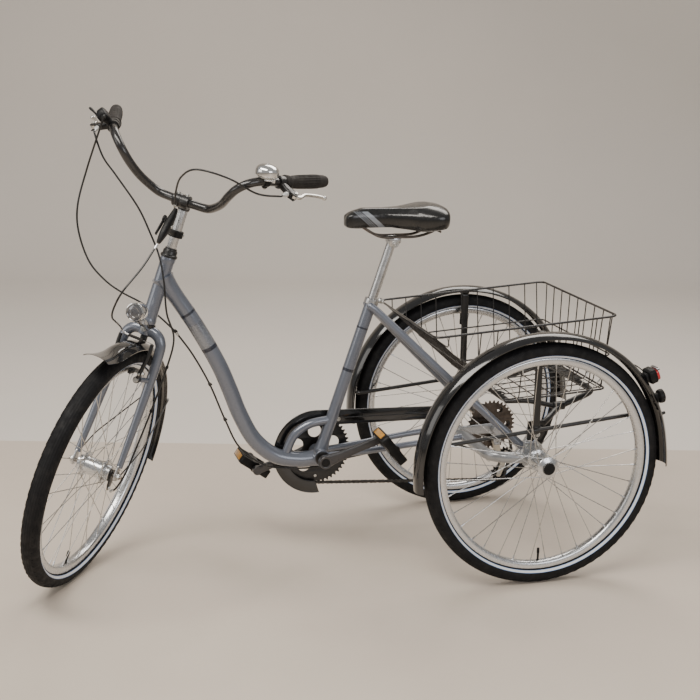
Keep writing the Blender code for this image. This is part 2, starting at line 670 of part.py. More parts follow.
def make_carrier():
    """Black brackets on the dropouts with the tube frame that carries the basket."""
    x = CROSS_HALF - 0.0110
    under = 0.0090
    path = [(x, 0.004, 0.3920), (x - 0.020, 0.050, 0.4170), (0.170, 0.105, 0.4330), (0.165, 0.195, FLOOR_REAR.z - 0.026),
            (0.150, 0.212, FLOOR_REAR.z - 0.020), (-0.150, 0.212, FLOOR_REAR.z - 0.020),
            (-0.165, 0.195, FLOOR_REAR.z - 0.026), (-0.170, 0.105, 0.4330), (-x + 0.020, 0.050, 0.4170), (-x, 0.004, 0.3920)]
    rear = tube(path, under)
    pieces = []
    for side in (1, -1):
        bx = side * (CROSS_HALF - 0.0036)
        outline = [(-0.018, 0.0455), (0.020, 0.0455), (0.032, 0.062), (0.032, 0.098), (-0.018, 0.098)]
        pieces.append(plate(outline, 0.005, side_frame(bx, AXLE_Z)))
        pieces.append(rod((side * 0.245, 0.004, 0.392), (side * 0.2700, 0.004, 0.392), 0.010, 12))
        pieces.append(tube([(side * 0.170, 0.105, 0.4330), (side * 0.168, 0.020, 0.4560), (side * 0.165, -0.050, 0.4580)],
                           0.0070))
    pieces.append(rod((-0.166, -0.040, 0.4580), (0.166, -0.040, 0.4580), 0.0070, 8))
    pad = block((0, 0.212, FLOOR_REAR.z - 0.0105), (0.120, 0.024, 0.006), Matrix.Rotation(math.radians(3.5), 3, "X"))
    pieces.append(pad)
    place(join(rear, *pieces), "rear_carrier", BLACK_SATIN, REAR)


# ---- chain guard ---------------------------------------------------------------------------------
def make_chain_guard():
    """A hockey-stick guard: a band over the upper run that wraps round the front of the chainring."""
    r_out, r_in = 0.1180, 0.0850
    back = [(-0.115, 0.392), (-0.118, 0.358)]
    sweep = [math.radians(a) for a in range(90, 276, 15)]
    outer = [(BB.y + r_out * math.cos(a), BB.z - 0.004 + r_out * math.sin(a)) for a in sweep]
    inner = [(BB.y + r_in * math.cos(a), BB.z - 0.004 + r_in * math.sin(a)) for a in reversed(sweep)]
    lower = [(-0.430, 0.362)]
    outline = [back[0]] + outer + inner + lower + [back[1]]
    skin = plate(outline, 0.0016, side_frame(CHAIN_X + 0.0120, 0.0))
    place(skin, "chain_guard", BLACK_GLOSS, REAR)


# ---- front end -----------------------------------------------------------------------------------
def local(points):
    return [Vector(p) for p in points]


def make_fork():
    steerer = turned([(0.0112, 0.392), (STEERER_R, 0.392), (STEERER_R, HEAD_HIGH + 0.020), (0.0112, HEAD_HIGH + 0.020)],
                     16)
    pieces = [rod((0, 0, 0.366), (0, 0, HEAD_LOW - GAP), 0.0180, 16)]
    for side in (1, -1):
        path = [(side * 0.004, 0, 0.376), (side * 0.030, 0, 0.374), (side * 0.046, 0.001, 0.362),
                (side * 0.0535, 0.001, 0.335), (side * 0.0560, -0.006, 0.250), (side * 0.0590, -0.030, 0.110),
                (side * 0.0610, -0.0470, 0.022)]
        radii = [1.0, 1.0, 1.0, 1.0, 0.95, 0.78, 0.62]
        pieces.append(tube(path, 0.0135, sides=2, radii=radii))
        end = [(-0.006, 0.030), (0.010, 0.030), (0.012, 0.0), (0.008, -0.012), (-0.008, -0.012), (-0.012, 0.0)]
        pieces.append(plate(end, 0.005, side_frame(side * 0.0610, 0.0, -FORK_RAKE)))
        pieces.append(rod((side * 0.0372, -0.0335, 0.255), (side * 0.055, -0.008, 0.255), 0.006, 8))
        pieces.append(rod((side * 0.0630, -FORK_RAKE, 0), (side * 0.0710, -FORK_RAKE, 0), 0.0090, 6))
    pieces.append(rod((-0.0730, -FORK_RAKE, 0), (0.0730, -FORK_RAKE, 0), 0.0048, 10))
    pieces.append(block_between(Vector((0.0100, -0.006, 0.3790)), Vector((0.0100, -0.0560, 0.4040)), 0.0030,
                                Vector((0, 0.0027, 0.0054))))
    place(join(steerer, *pieces), "fork", GREY_PAINT, STEER)

    headset = turned([(STEERER_R + GAP, HEAD_HIGH + GAP), (0.0215, HEAD_HIGH + GAP), (0.0215, HEAD_HIGH + 0.006),
                      (0.0180, HEAD_HIGH + 0.008), (0.0180, HEAD_HIGH + 0.018), (0.0150, HEAD_HIGH + 0.0205),
                      (0.0150, HEAD_HIGH + 0.0245), (STEERER_R + GAP, HEAD_HIGH + 0.0245)], 16)
    place(headset, "headset", BLACK_SATIN, STEER)


def bar_shape(extra=0.0):
    half = local(BAR_HALF)
    whole = [Vector((-p.x, p.y, p.z)) for p in reversed(half[1:])] + half
    return tube(smooth_path(whole, 33), BAR_R + extra)


def make_cockpit():
    quill = turned([(0, 0.500), (0.0108, 0.500), (0.0108, HEAD_HIGH + 0.0255), (0.0125, HEAD_HIGH + 0.0260),
                    (0.0125, 0.700), (0, 0.700)], 16)
    clamp = [rod((0, 0, 0.697), (0, 0, 0.722), 0.0150, 16), rod((0, 0.004, 0.712), (0, -0.029, 0.722), 0.0135, 12),
             rod((-0.021, -0.029, 0.722), (0.021, -0.029, 0.722), 0.0178, 16)]
    stem = cut(join(quill, *clamp), bar_shape(GAP))
    place(keep_largest(stem), "stem", ALLOY, STEER)
    place(bar_shape(), "handlebar", BLACK_GLOSS, STEER)
    for side, word in ((1, "left"), (-1, "right")):
        start = Vector((side * GRIP_START.x, GRIP_START.y, GRIP_START.z))
        end = Vector((side * GRIP_END.x, GRIP_END.y, GRIP_END.z))
        along = (end - start).normalized()
        length = (end - start).length
        grip = turned([(0, 0), (0.0180, 0), (0.0180, 0.005), (GRIP_R, 0.007), (GRIP_R, length - 0.004),
                       (0.0130, length), (0, length)], 14, frame_on(start, along))
        grip = cut(grip, bar_shape(GAP))
        place(keep_largest(grip), "grip_" + word, RUBBER, STEER)


def grip_axes(side):
    """Along the grip, and out to the lever."""
    along = (GRIP_END - GRIP_START).normalized()
    out = Vector((0.80, -0.35, -0.48))
    out = (out - along * out.dot(along)).normalized()
    flip = Vector((side, 1, 1))
    return along * flip, out * flip


def on_bar(side, back):
    """A point on the bar's middle line, inboard of the grip by a distance along the line."""
    path = smooth_path([Vector((side * p[0], p[1], p[2])) for p in BAR_HALF], 121)
    start = Vector((side * GRIP_START.x, GRIP_START.y, GRIP_START.z))
    nearest = min(range(len(path)), key=lambda i: (path[i] - start).length)
    walked = 0.0
    while walked < back and nearest > 1:
        walked += (path[nearest] - path[nearest - 1]).length
        nearest -= 1
    return path[nearest], (path[nearest + 1] - path[nearest - 1]).normalized()


def make_levers():
    for side, word in ((1, "left"), (-1, "right")):
        along, out = grip_axes(side)
        centre, bar_way = on_bar(side, 0.012)
        pivot = centre + out * 0.050 + along * 0.012
        up = along.cross(out).normalized() * 0.009
        clamp = rod(centre - bar_way * 0.009, centre + bar_way * 0.009, 0.0165, 14)
        arm = rod(centre + out * 0.012, centre + out * 0.040 + along * 0.004, 0.0095, 10)
        yoke = block_between(centre + out * 0.036, pivot + out * 0.006, 0.020, up)
        barrel = rod(centre + out * 0.040 + along * 0.002, centre + out * 0.046 - along * 0.028, 0.0055, 10)
        perch = join(clamp, arm, yoke, barrel)
        slot = block_between(pivot - out * 0.010 - along * 0.002, pivot + out * 0.024 + along * 0.004, 0.060, up * 0.58)
        perch = cut(perch, bar_shape(GAP), slot)
        place(keep_largest(perch), "brake_perch_" + word, BLACK_SATIN, STEER)

        holder = empty("brake_lever_pivot_" + word, STEER, pivot)
        blade = tube(smooth_path([-along * 0.002, along * 0.014 + out * 0.006, along * 0.040 - out * 0.002,
                                  along * 0.075 + out * 0.002, along * 0.100 + out * 0.010], 9), 0.0045, sides=2,
                     radii=[1.05, 1.05, 1.0, 1.0, 1.0, 1.0, 0.95, 0.9, 0.9])
        knob = rod(along * 0.094 + out * 0.008, along * 0.103 + out * 0.0115, 0.0062, 10)
        place(join(blade, knob), "brake_lever_" + word, ALLOY, holder)


def block_between(start, end, width, up):
    """A bar with a square-cut section between two points; up sets half its height."""
    along = (end - start).normalized()
    frame = frame_on((start + end) / 2, along, up)
    mesh = bpy.data.meshes.new("bar")
    work = bmesh.new()
    size = (up.length * 2, width, (end - start).length)
    bmesh.ops.create_cube(work, size=1.0, matrix=frame @ Matrix.Diagonal((*size, 1.0)))
    work.to_mesh(mesh)
    work.free()
    return link(bpy.data.objects.new("bar", mesh))


def make_shifter_and_bell():
    along, out = grip_axes(-1)
    centre, bar_way = on_bar(-1, 0.036)
    below = Matrix.Rotation(math.radians(62), 3, along) @ out
    band = rod(centre - bar_way * 0.008, centre + bar_way * 0.008, 0.0160, 14)
    drum_at = centre + below * 0.036
    axis = along.cross(below).normalized()
    drum = rod(drum_at - axis * 0.010, drum_at + axis * 0.010, 0.0190, 16)
    neck = rod(centre + below * 0.012, drum_at, 0.0090, 10)
    outlet = rod(drum_at, drum_at - along * 0.032, 0.0050, 8)
    shifter = cut(join(band, drum, neck, outlet), bar_shape(GAP))
    place(keep_largest(shifter), "shifter", BLACK_SATIN, STEER)
    holder = empty("shift_lever_pivot", STEER, drum_at - axis * 0.0103)
    cap = rod(-axis * 0.0001, -axis * 0.0052, 0.0130, 12)
    paddle = tube([-axis * 0.0030, along * 0.010 + below * 0.016 - axis * 0.0050,
                   along * 0.016 + below * 0.034 - axis * 0.0080], 0.0028)
    place(join(cap, paddle), "shift_lever", BLACK_SATIN, holder)

    seat, way = on_bar(1, 0.062)
    up = Vector((0.10, 0.10, 1.0)).normalized()
    up = (up - way * up.dot(way)).normalized()
    collar = rod(seat - way * 0.007, seat + way * 0.007, 0.0150, 12)
    dome = turned([(0, 0.013), (0.0270, 0.0140), (0.0290, 0.0160), (0.0290, 0.0280), (0.0240, 0.0380), (0.0140, 0.0440),
                   (0.0, 0.0460)], 20, frame_on(seat, up))
    post = rod(seat + up * 0.008, seat + up * 0.020, 0.0080, 10)
    bell = cut(join(dome, post, collar), bar_shape(GAP))
    place(keep_largest(bell), "bell", CHROME, STEER)
    side_way = way.cross(up).normalized()
    holder = empty("bell_lever_pivot", STEER, seat + up * 0.0085 + side_way * 0.0300)
    tab = tube([Vector((0, 0, 0)), -way * 0.012 + up * 0.001, -way * 0.026 + up * 0.002], 0.0030)
    hinge = rod(-up * 0.004, up * 0.004, 0.0045, 10)
    place(join(tab, hinge), "bell_lever", BLACK_SATIN, holder)


def make_front_brakes():
    for side, word in ((1, "left"), (-1, "right")):
        holder = empty("v_brake_pivot_" + word, STEER, (side * 0.0345, -0.0455, 0.255))
        arm = tube([(0, 0, 0), (side * 0.0055, -0.003, 0.030), (side * 0.0105, 0.000, 0.070),
                    (side * 0.0105, 0.002, 0.098)], 0.0055)
        boss = rod((0, -0.007, 0), (0, 0.0055, 0), 0.0085, 10)
        pad = rod((side * 0.003, -0.002, 0.0180), (-side * 0.0188, -0.002, 0.0180), 0.0040, 8)
        place(join(arm, boss, pad), "v_brake_arm_" + word, BLACK_SATIN, holder)
    holder = empty("hub_brake_pivot", STEER, (0.0500, -FORK_RAKE, 0))
    lever = plate([(-0.012, 0.012), (0.012, 0.012), (0.010, -0.030), (-0.002, -0.044), (-0.010, -0.030)], 0.004,
                  side_frame(0.0, 0.0), [circle(0.0053, 12)])
    place(lever, "hub_brake_arm", BLACK_SATIN, holder)

    ring = rod((0, 0, 0.628), (0, 0, 0.644), 0.0190, 16)
    casing = tube(smooth_path([(0, -0.098, 0.612), (0, -0.080, 0.640), (0, -0.062, 0.668), (0, -0.052, 0.700)], 6), 0.0105,
                  radii=[0.5, 1.0, 1.25, 1.2, 0.9, 0.5])
    arm = rod((0, -0.070, 0.648), (0, -0.012, 0.636), 0.0070, 10)
    brake = cut(join(ring, casing, arm), rod((0, 0, 0.6), (0, 0, 0.69), STEERER_R + 0.0002, 16))
    place(keep_largest(brake), "parking_brake", BLACK_SATIN, STEER)
    holder = empty("parking_lever_pivot", STEER, (-0.0140, -0.062, 0.668))
    hub = rod((-0.0006, 0, 0), (-0.0060, 0, 0), 0.0100, 12)
    blade = block_between(Vector((-0.0035, 0, 0)), Vector((-0.0035, -0.0260, -0.0400)), 0.0120, Vector((0.0020, 0, 0)))
    place(join(hub, blade), "parking_lever", BLACK_SATIN, holder)


def make_front_fender_and_lamp():
    def flare(share):
        rise = max(0.0, share - 0.86) / 0.14
        return 0.045 * rise ** 2, 1.0 + 0.20 * rise

    shell = make_fender("front_fender", (0.0, -FORK_RAKE, 0.0), math.radians(-4), math.radians(124), 0.3460, flare)
    bridge = block((0, 0.0040, 0.3495), (0.020, 0.016, 0.0200))
    place(join(shell, bridge), "front_fender", BLACK_GLOSS, STEER)

    holder = empty("headlamp_pivot", STEER, (0, -0.050, 0.402))
    shade = turned([(0, -0.030), (0.012, -0.030), (0.020, -0.018), (0.0240, 0.004), (0.0250, 0.016), (0.0220, 0.018),
                    (0, 0.014)], 16, frame_on((0, -0.042, 0.026), (0, -1, -0.08)))
    foot = rod((0, -0.038, 0.010), (0, 0.0, 0.0), 0.0060, 8)
    place(join(shade, foot, rod((-0.007, 0, 0), (0.007, 0, 0), 0.0080, 10)), "headlamp", CHROME, holder)


def make_front_wheel():
    down = STEER.matrix_world.to_3x3().inverted() @ Vector((0, 0, -1))
    hub = empty("front_hub", STEER, (0, -FORK_RAKE, 0), Matrix(((0, 0, 1), (0, 1, 0), (-1, 0, 0))))
    bpy.context.view_layer.update()
    inward = hub.matrix_basis.to_3x3().inverted() @ down
    phase = math.atan2(inward.y, inward.x)
    outline = hub_outline(0.0230, 0.0330, 0.0290, 0.003, (-0.0460, 0.0460), 0.0052)
    place(tyre_shape(phase), "tyre_front", RUBBER, hub)
    place(laced_wheel(outline, 0.0295, 0.0290, phase), "wheel_front", ALLOY, hub)


# ---- cables --------------------------------------------------------------------------------------
def make_cables():
    """Held brake and gear cables, each whole along its route."""
    upper = [(0.235, -0.052, 0.803), (0.206, -0.106, 0.806), (0.150, -0.176, 0.822), (0.075, -0.196, 0.818),
             (0.030, -0.160, 0.788), (0.008, -0.110, 0.748), (0.002, -0.068, 0.7045)]
    lower = [(0.000, -0.1010, 0.6060), (-0.006, -0.136, 0.544), (-0.022, -0.172, 0.476), (-0.036, -0.160, 0.430),
             (-0.046, -0.130, 0.400), (-0.050, -0.088, 0.384), (-0.046, -0.060, 0.372)]
    right = [(-0.250, -0.086, 0.796), (-0.215, -0.082, 0.765), (-0.173, -0.066, 0.730), (-0.099, -0.050, 0.672),
             (-0.047, -0.045, 0.618), (-0.008, -0.042, 0.571), (0.022, -0.038, 0.515), (0.050, -0.026, 0.440),
             (0.078, 0.004, 0.380), (0.080, 0.016, 0.300), (0.079, 0.004, 0.180), (0.080, -0.022, 0.080),
             (0.079, -0.038, 0.015), (0.068, -0.043, -0.032), (0.0555, -0.046, -0.047)]
    for name, route, count in (("brake_cable_upper", upper, 20), ("brake_cable_lower", lower, 16),
                               ("hub_brake_cable", right, 30)):
        place(tube(smooth_path(route, count), CABLE_R), name, RUBBER, STEER)

    loop = [(-0.070, -1.080, 1.120), (-0.075, -1.114, 1.069), (-0.072, -1.140, 0.979), (-0.067, -1.140, 0.911),
            (-0.061, -1.117, 0.836), (-0.052, -1.079, 0.787), (-0.045, -1.038, 0.755), (-0.036, -0.986, 0.725),
            (-0.030, -0.947, 0.692), (-0.027, -0.905, 0.650)]
    place(tube(smooth_path(loop, 26), CABLE_R), "shift_cable_loop", RUBBER, REAR)
    run = [(-0.027, -0.9045, 0.6494), (-0.027, -0.860, 0.585), (-0.027, -0.815, 0.500), (-0.027, -0.775, 0.400),
           (-0.027, -0.735, 0.318), (-0.027, -0.665, 0.262), (-0.028, -0.590, 0.247), (-0.030, -0.520, 0.245),
           (-0.032, -0.440, 0.262), (-0.024, -0.300, 0.283), (-0.022, -0.150, 0.287), (-0.022, -0.060, 0.262),
           (-0.022, -0.010, 0.225)]
    place(tube(smooth_path(run, 40), CABLE_R), "shift_cable", RUBBER, REAR)


def make_chain_set():
    crank = empty("crank", REAR, BB)
    arm_way = Vector((0, math.cos(CRANK_ANGLE), math.sin(CRANK_ANGLE)))
    spindle = rod((-CRANK_X, 0, 0), (CRANK_X, 0, 0), 0.0085, 12)
    pieces = []
    for side in (1, -1):
        x = side * CRANK_X
        tip = arm_way * (side * CRANK_LENGTH)
        pieces.append(rod((x - 0.009, 0, 0), (x + 0.009, 0, 0), 0.0170, 14))
        arm = tube([Vector((x, 0, 0)), Vector((x, 0, 0)) + tip * 0.25, Vector((x, 0, 0)) + tip * 0.98], 0.0105, sides=2,
                   radii=[1.3, 1.15, 0.85])
        pieces.append(arm)
        pieces.append(rod(Vector((x - 0.0065, 0, 0)) + tip, Vector((x + 0.0065, 0, 0)) + tip, 0.0125, 12))
    chain_set = join(spindle, *pieces)
    bores = [rod(Vector((side * 0.03, 0, 0)) + arm_way * (side * CRANK_LENGTH),
                 Vector((side * 0.1, 0, 0)) + arm_way * (side * CRANK_LENGTH), 0.0063, 12) for side in (1, -1)]
    chain_set = cut(chain_set, *bores)
    place(chain_set, "crank_set", BLACK_SATIN, crank)

    holes = [circle(0.0182, 14)]
    for arm in range(5):
        angle = CRANK_ANGLE + math.pi + 2 * math.pi * (arm + 0.5) / 5
        holes.append(circle(0.0190, 10, (0.0530 * math.cos(angle), 0.0530 * math.sin(angle))))
    ring = plate(circle(RING_R - 0.0015, 44), 0.0030, side_frame(CHAIN_X + 0.0005, 0.0), holes)
    place(ring, "chainring", BLACK_SATIN, crank)

    for side, word in ((1, "left"), (-1, "right")):
        holder = empty("pedal_axis_" + word, crank, arm_way * (side * CRANK_LENGTH) + Vector((side * PEDAL_X, 0, 0)))
        tread = Matrix.Rotation(math.radians(PEDAL_TILT[word]), 4, "X")
        windows = [[(y * way, x) for x, y in ((-0.036, 0.017), (0.036, 0.017), (0.036, 0.033), (-0.036, 0.033))]
                   for way in (1, -1)]
        outline = [(-0.040, -0.047), (0.040, -0.047), (0.045, -0.040), (0.045, 0.040), (0.040, 0.047), (-0.040, 0.047),
                   (-0.045, 0.040), (-0.045, -0.040)]
        lying = Matrix(((0, 1, 0, 0), (1, 0, 0, 0), (0, 0, 1, 0), (0, 0, 0, 1)))
        cage = plate(outline, 0.0240, tread @ lying, windows)
        barrel = rod((-0.046, 0, 0), (0.046, 0, 0), 0.0140, 12)
        axle = rod((side * (CRANK_X - 0.0055 - PEDAL_X), 0, 0), (side * 0.020, 0, 0), 0.0060, 12)
        place(join(cage, barrel, axle), "pedal_" + word, BLACK_SATIN, holder)


def make_derailleur():
    """Tension arm with its lower pulley, hung from the hanger behind the chain line."""
    pivot = Vector((-0.0180, 0.005, AXLE_Z - 0.042))
    holder = empty("derailleur_pivot", REAR, pivot)
    pulley = PULLEY - pivot
    plate_x = CHAIN_X - pivot.x + 0.0095
    knuckle = tube([(0.0055, 0, 0), (-0.0045, 0, 0), (-0.0080, 0.003, -0.020), (-0.0140, 0.006, -0.0430),
                    (plate_x, 0.008, -0.0480)], 0.0080)
    cage = block_between(Vector((plate_x, 0.008, -0.0450)), Vector((plate_x, pulley.y, pulley.z)), 0.0200,
                         Vector((0.0015, 0, 0)))
    axle = rod((plate_x, pulley.y, pulley.z), (plate_x - 0.0120, pulley.y, pulley.z), 0.0050, 10)
    wheel = rod((pulley.x - 0.0017, pulley.y, pulley.z), (pulley.x + 0.0027, pulley.y, pulley.z), PULLEY_R - 0.0010, 18)
    place(join(knuckle, cage, axle, wheel), "derailleur", ALLOY, holder)


# ---- saddle --------------------------------------------------------------------------------------
def make_saddle():
    post_empty = empty("seat_post_slide", REAR, SEAT_TUBE_TOP)
    top = SEAT_AXIS * POST_TOP
    post = rod(SEAT_AXIS * -0.140, top, POST_R, 16)
    clamp = block(top + Vector((0, 0.004, 0.006)), (0.034, 0.030, 0.026), bevel=0.004)
    pieces = [clamp]
    centre = Vector((0, -0.310, 0.890)) - SEAT_TUBE_TOP
    for side in (1, -1):
        rail = [(side * 0.014, -0.120, 0.0165), (side * 0.020, -0.090, 0.003), (side * 0.022, 0.0, -0.004),
                (side * 0.022, 0.050, 0.000), (side * 0.028, 0.080, 0.0110)]
        pieces.append(tube([centre + Vector(p) for p in rail], 0.0035))
    bolt = rod(top + Vector((-0.026, 0.004, -0.002)), top + Vector((0.026, 0.004, -0.002)), 0.0050, 8)
    bridge = rod(top + Vector((-0.0255, 0.0, 0.0115)), top + Vector((0.0255, 0.0, 0.0115)), 0.0070, 10)
    place(join(post, *pieces, bolt, bridge), "seat_post", ALLOY, post_empty)

    stations = [(-0.148, 0.020, 0.004, -0.028), (-0.130, 0.026, 0.012, -0.033), (-0.080, 0.030, 0.014, -0.033),
                (-0.020, 0.042, 0.015, -0.033), (0.030, 0.068, 0.018, -0.035), (0.075, 0.092, 0.023, -0.037),
                (0.112, 0.096, 0.025, -0.036), (0.132, 0.070, 0.020, -0.026)]
    mesh = bpy.data.meshes.new("saddle")
    work = bmesh.new()
    rows = []
    for y, half, high, low in stations:
        ring = [(0.0, high), (0.55, high * 0.9), (0.92, high * 0.35), (1.0, -0.006), (0.90, low * 0.9), (0.45, low), (0.0, low)]
        points = [(x * half, z) for x, z in ring] + [(-x * half, z) for x, z in reversed(ring[1:-1])]
        rows.append([work.verts.new((x, y, z)) for x, z in points])
    for low_row, high_row in zip(rows, rows[1:]):
        for i in range(len(low_row)):
            j = (i + 1) % len(low_row)
            work.faces.new((low_row[i], low_row[j], high_row[j], high_row[i]))
    work.faces.new(rows[0])
    work.faces.new(rows[-1])
    bmesh.ops.recalc_face_normals(work, faces=work.faces)
    bmesh.ops.translate(work, verts=work.verts, vec=Vector((0, -0.312, 0.9470)) - SEAT_TUBE_TOP)
    work.to_mesh(mesh)
    work.free()
    place(link(bpy.data.objects.new("saddle", mesh)), "saddle", BLACK_SATIN, post_empty, smooth=60)


# ---- assembly ------------------------------------------------------------------------------------
clear_scene()
PARTS = new_collection("adult_tricycle")
REAR = empty("rear_axle_ground", None, (0, REAR_AXLE_Y, 0))
STEER = empty("steering_axis", REAR, STEER_BASE,
              Matrix.Rotation(HEAD_ANGLE - math.pi / 2, 3, "X") @ Matrix.Rotation(STEER_ANGLE, 3, "Z"))
bpy.context.view_layer.update()

make_main_frame()
make_stays()
make_rear_subframe()
make_rear_wheels()
make_freewheel()
make_chain()
make_rear_fenders()
make_basket()
make_carrier()
make_chain_guard()
make_fork()
make_cockpit()
make_levers()
make_shifter_and_bell()
make_front_brakes()
make_front_fender_and_lamp()
make_front_wheel()
make_cables()
make_chain_set()
make_derailleur()
make_saddle()
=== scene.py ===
"""Looks of the adult tricycle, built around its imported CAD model.  Metres, +Z up, the rider faces -Y."""

import json
import math
import random

import bmesh
import bpy
from mathutils import Matrix, Vector

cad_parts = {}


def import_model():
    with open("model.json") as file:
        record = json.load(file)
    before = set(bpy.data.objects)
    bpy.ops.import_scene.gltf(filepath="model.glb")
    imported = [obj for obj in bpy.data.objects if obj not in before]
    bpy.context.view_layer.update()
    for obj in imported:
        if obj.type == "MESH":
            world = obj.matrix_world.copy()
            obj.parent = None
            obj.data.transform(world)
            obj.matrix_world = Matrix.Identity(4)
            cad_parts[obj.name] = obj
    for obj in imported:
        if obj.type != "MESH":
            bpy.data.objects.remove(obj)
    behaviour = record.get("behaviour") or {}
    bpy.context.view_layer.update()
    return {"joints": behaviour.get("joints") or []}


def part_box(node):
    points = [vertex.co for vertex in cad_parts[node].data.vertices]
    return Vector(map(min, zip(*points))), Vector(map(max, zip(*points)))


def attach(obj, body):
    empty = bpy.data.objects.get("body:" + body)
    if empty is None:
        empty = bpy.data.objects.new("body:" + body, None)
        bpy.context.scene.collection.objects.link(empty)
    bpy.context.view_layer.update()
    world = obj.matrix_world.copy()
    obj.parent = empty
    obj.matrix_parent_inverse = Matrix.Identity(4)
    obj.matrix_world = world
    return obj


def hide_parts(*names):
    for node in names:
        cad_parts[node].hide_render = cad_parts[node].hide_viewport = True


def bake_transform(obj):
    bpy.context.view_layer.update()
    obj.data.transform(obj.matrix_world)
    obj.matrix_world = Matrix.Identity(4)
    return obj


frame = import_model()
random.seed(7)

# ---- where things are --------------------------------------------------------------------------
JOINTS = {joint["name"]: joint for joint in frame["joints"]}
low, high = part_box("wheel_rear_left")
REAR_Y = (low.y + high.y) / 2
AXLE_Z = (low.z + high.z) / 2
HALF_TRACK = 0.3173

steer_z = Vector(JOINTS["steering_turn"]["axis"]).normalized()
steer_x = Vector(JOINTS["front_wheel_spin"]["axis"]).normalized()
steer_y = steer_z.cross(steer_x)
STEER = Matrix((steer_x, steer_y, steer_z)).transposed().to_4x4()
STEER.translation = Vector(JOINTS["steering_turn"]["pos_m"])


def world(point):
    """A point given from the ground under the rear axle."""
    return Vector(point) + Vector((0, REAR_Y, 0))


def steered(point):
    """A point given in the steering frame."""
    return STEER @ Vector(point)


def steered_way(way):
    return STEER.to_3x3() @ Vector(way)


# ---- materials ---------------------------------------------------------------------------------
def material(name, colour, roughness, metallic=0.0, coat=0.0, vary=0.12, vary_scale=9.0, grain=900.0,
             depth=0.00003,
             fleck=0.0, stretch=(1, 1, 1), dust=0.0, coat_rough=0.06, bump=0.5):
    """A finish with broad colour drift, grain in its bump and roughness, and dust that gathers in places."""
    made = bpy.data.materials.new(name)
    made.use_nodes = True
    nodes, links = made.node_tree.nodes, made.node_tree.links
    shader = nodes["Principled BSDF"]
    shader.inputs["Metallic"].default_value = metallic
    shader.inputs["Coat Weight"].default_value = coat
    shader.inputs["Coat Roughness"].default_value = coat_rough
    coord = nodes.new("ShaderNodeTexCoord")
    scaled = nodes.new("ShaderNodeMapping")
    scaled.inputs["Scale"].default_value = stretch
    links.new(coord.outputs["Object"], scaled.inputs["Vector"])

    def noise(scale, detail, source=scaled):
        node = nodes.new("ShaderNodeTexNoise")
        node.inputs["Scale"].default_value = scale
        node.inputs["Detail"].default_value = detail
        links.new(source.outputs[0] if source is scaled else coord.outputs["Object"], node.inputs["Vector"])
        return node.outputs["Fac"]

    def spread(fac, low_value, high_value, start=0.3, end=0.7):
        node = nodes.new("ShaderNodeMapRange")
        node.inputs["From Min"].default_value = start
        node.inputs["From Max"].default_value = end
        node.inputs["To Min"].default_value = low_value
        node.inputs["To Max"].default_value = high_value
        links.new(fac, node.inputs["Value"])
        return node.outputs["Result"]

    def mix(fac, first, second):
        node = nodes.new("ShaderNodeMix")
        node.data_type = "RGBA"
        links.new(fac, node.inputs["Factor"])
        for socket, value in ((node.inputs["A"], first), (node.inputs["B"], second)):
            if isinstance(value, tuple):
                socket.default_value = (*value, 1.0)
            else:
                links.new(value, socket)
        return node.outputs["Result"]

    broad = noise(vary_scale, 5.0, coord)
    fine = noise(grain, 3.0)
    tint = mix(spread(broad, 0.0, 1.0), tuple(c * (1 - vary) for c in colour),
               tuple(min(1.0, c * (1 + vary)) for c in colour))
    if fleck:
        cells = nodes.new("ShaderNodeTexVoronoi")
        cells.inputs["Scale"].default_value = 2600.0
        links.new(coord.outputs["Object"], cells.inputs["Vector"])
        bright = spread(cells.outputs["Distance"], fleck, 0.0, 0.0, 0.45)
        tint = mix(bright, tint if isinstance(tint, tuple) else tint,
                   tuple(min(1.0, c * 1.9 + 0.05) for c in colour))
    if dust:
        settled = noise(38.0, 8.0, coord)
        tint = mix(spread(settled, 0.0, dust, 0.50, 0.74), tint, (0.42, 0.38, 0.33))
    links.new(tint, shader.inputs["Base Color"])
    smear = noise(vary_scale * 6, 6.0, coord)
    rough = nodes.new("ShaderNodeMath")
    rough.operation = "ADD"
    links.new(spread(smear, roughness * 0.80, roughness * 1.25), rough.inputs[0])
    links.new(spread(fine, -0.04, 0.05), rough.inputs[1])
    rough.use_clamp = True
    links.new(rough.outputs[0], shader.inputs["Roughness"])
    relief = nodes.new("ShaderNodeBump")
    relief.inputs["Strength"].default_value = bump
    relief.inputs["Distance"].default_value = depth
    links.new(fine, relief.inputs["Height"])
    links.new(relief.outputs["Normal"], shader.inputs["Normal"])
    return made


SILVER_PAINT = material("silver_grey_paint", (0.150, 0.166, 0.204), 0.27, 0.40, 0.9, 0.02, 1.2, 1400, 0.00001,
                        0.15)
GLOSS_BLACK = material("gloss_black_paint", (0.0045, 0.0045, 0.0049), 0.13, 0.0, 0.7, 0.2, 8.0, 700, 0.00002,
                       dust=0.006)
SATIN_BLACK = material("satin_black_coat", (0.0072, 0.0067, 0.0067), 0.36, 0.0, 0.25, 0.2, 14.0, 1800,
                       0.00006, dust=0.016)
WIRE_BLACK = material("black_wire_coat", (0.0081, 0.0059, 0.0049), 0.28, 0.0, 0.45, 0.2, 20.0, 1500, 0.00005,
                      dust=0.012)
PLASTIC_BLACK = material("black_plastic", (0.0077, 0.0077, 0.0081), 0.42, 0.0, 0.0, 0.2, 16.0, 2600, 0.00008,
                         dust=0.016)
CASING_BLACK = material("cable_casing", (0.0063, 0.0063, 0.0063), 0.30, 0.0, 0.2, 0.2, 30.0, 3000, 0.00003)
TYRE_BLACK = material("tyre_rubber", (0.0085, 0.0085, 0.0095), 0.66, 0.0, 0.0, 0.25, 12.0, 1600, 0.00012,
                      dust=0.025)
GRIP_RUBBER = material("grip_rubber", (0.030, 0.027, 0.025), 0.66, 0.0, 0.0, 0.2, 20.0, 2200, 0.00012,
                       dust=0.05)
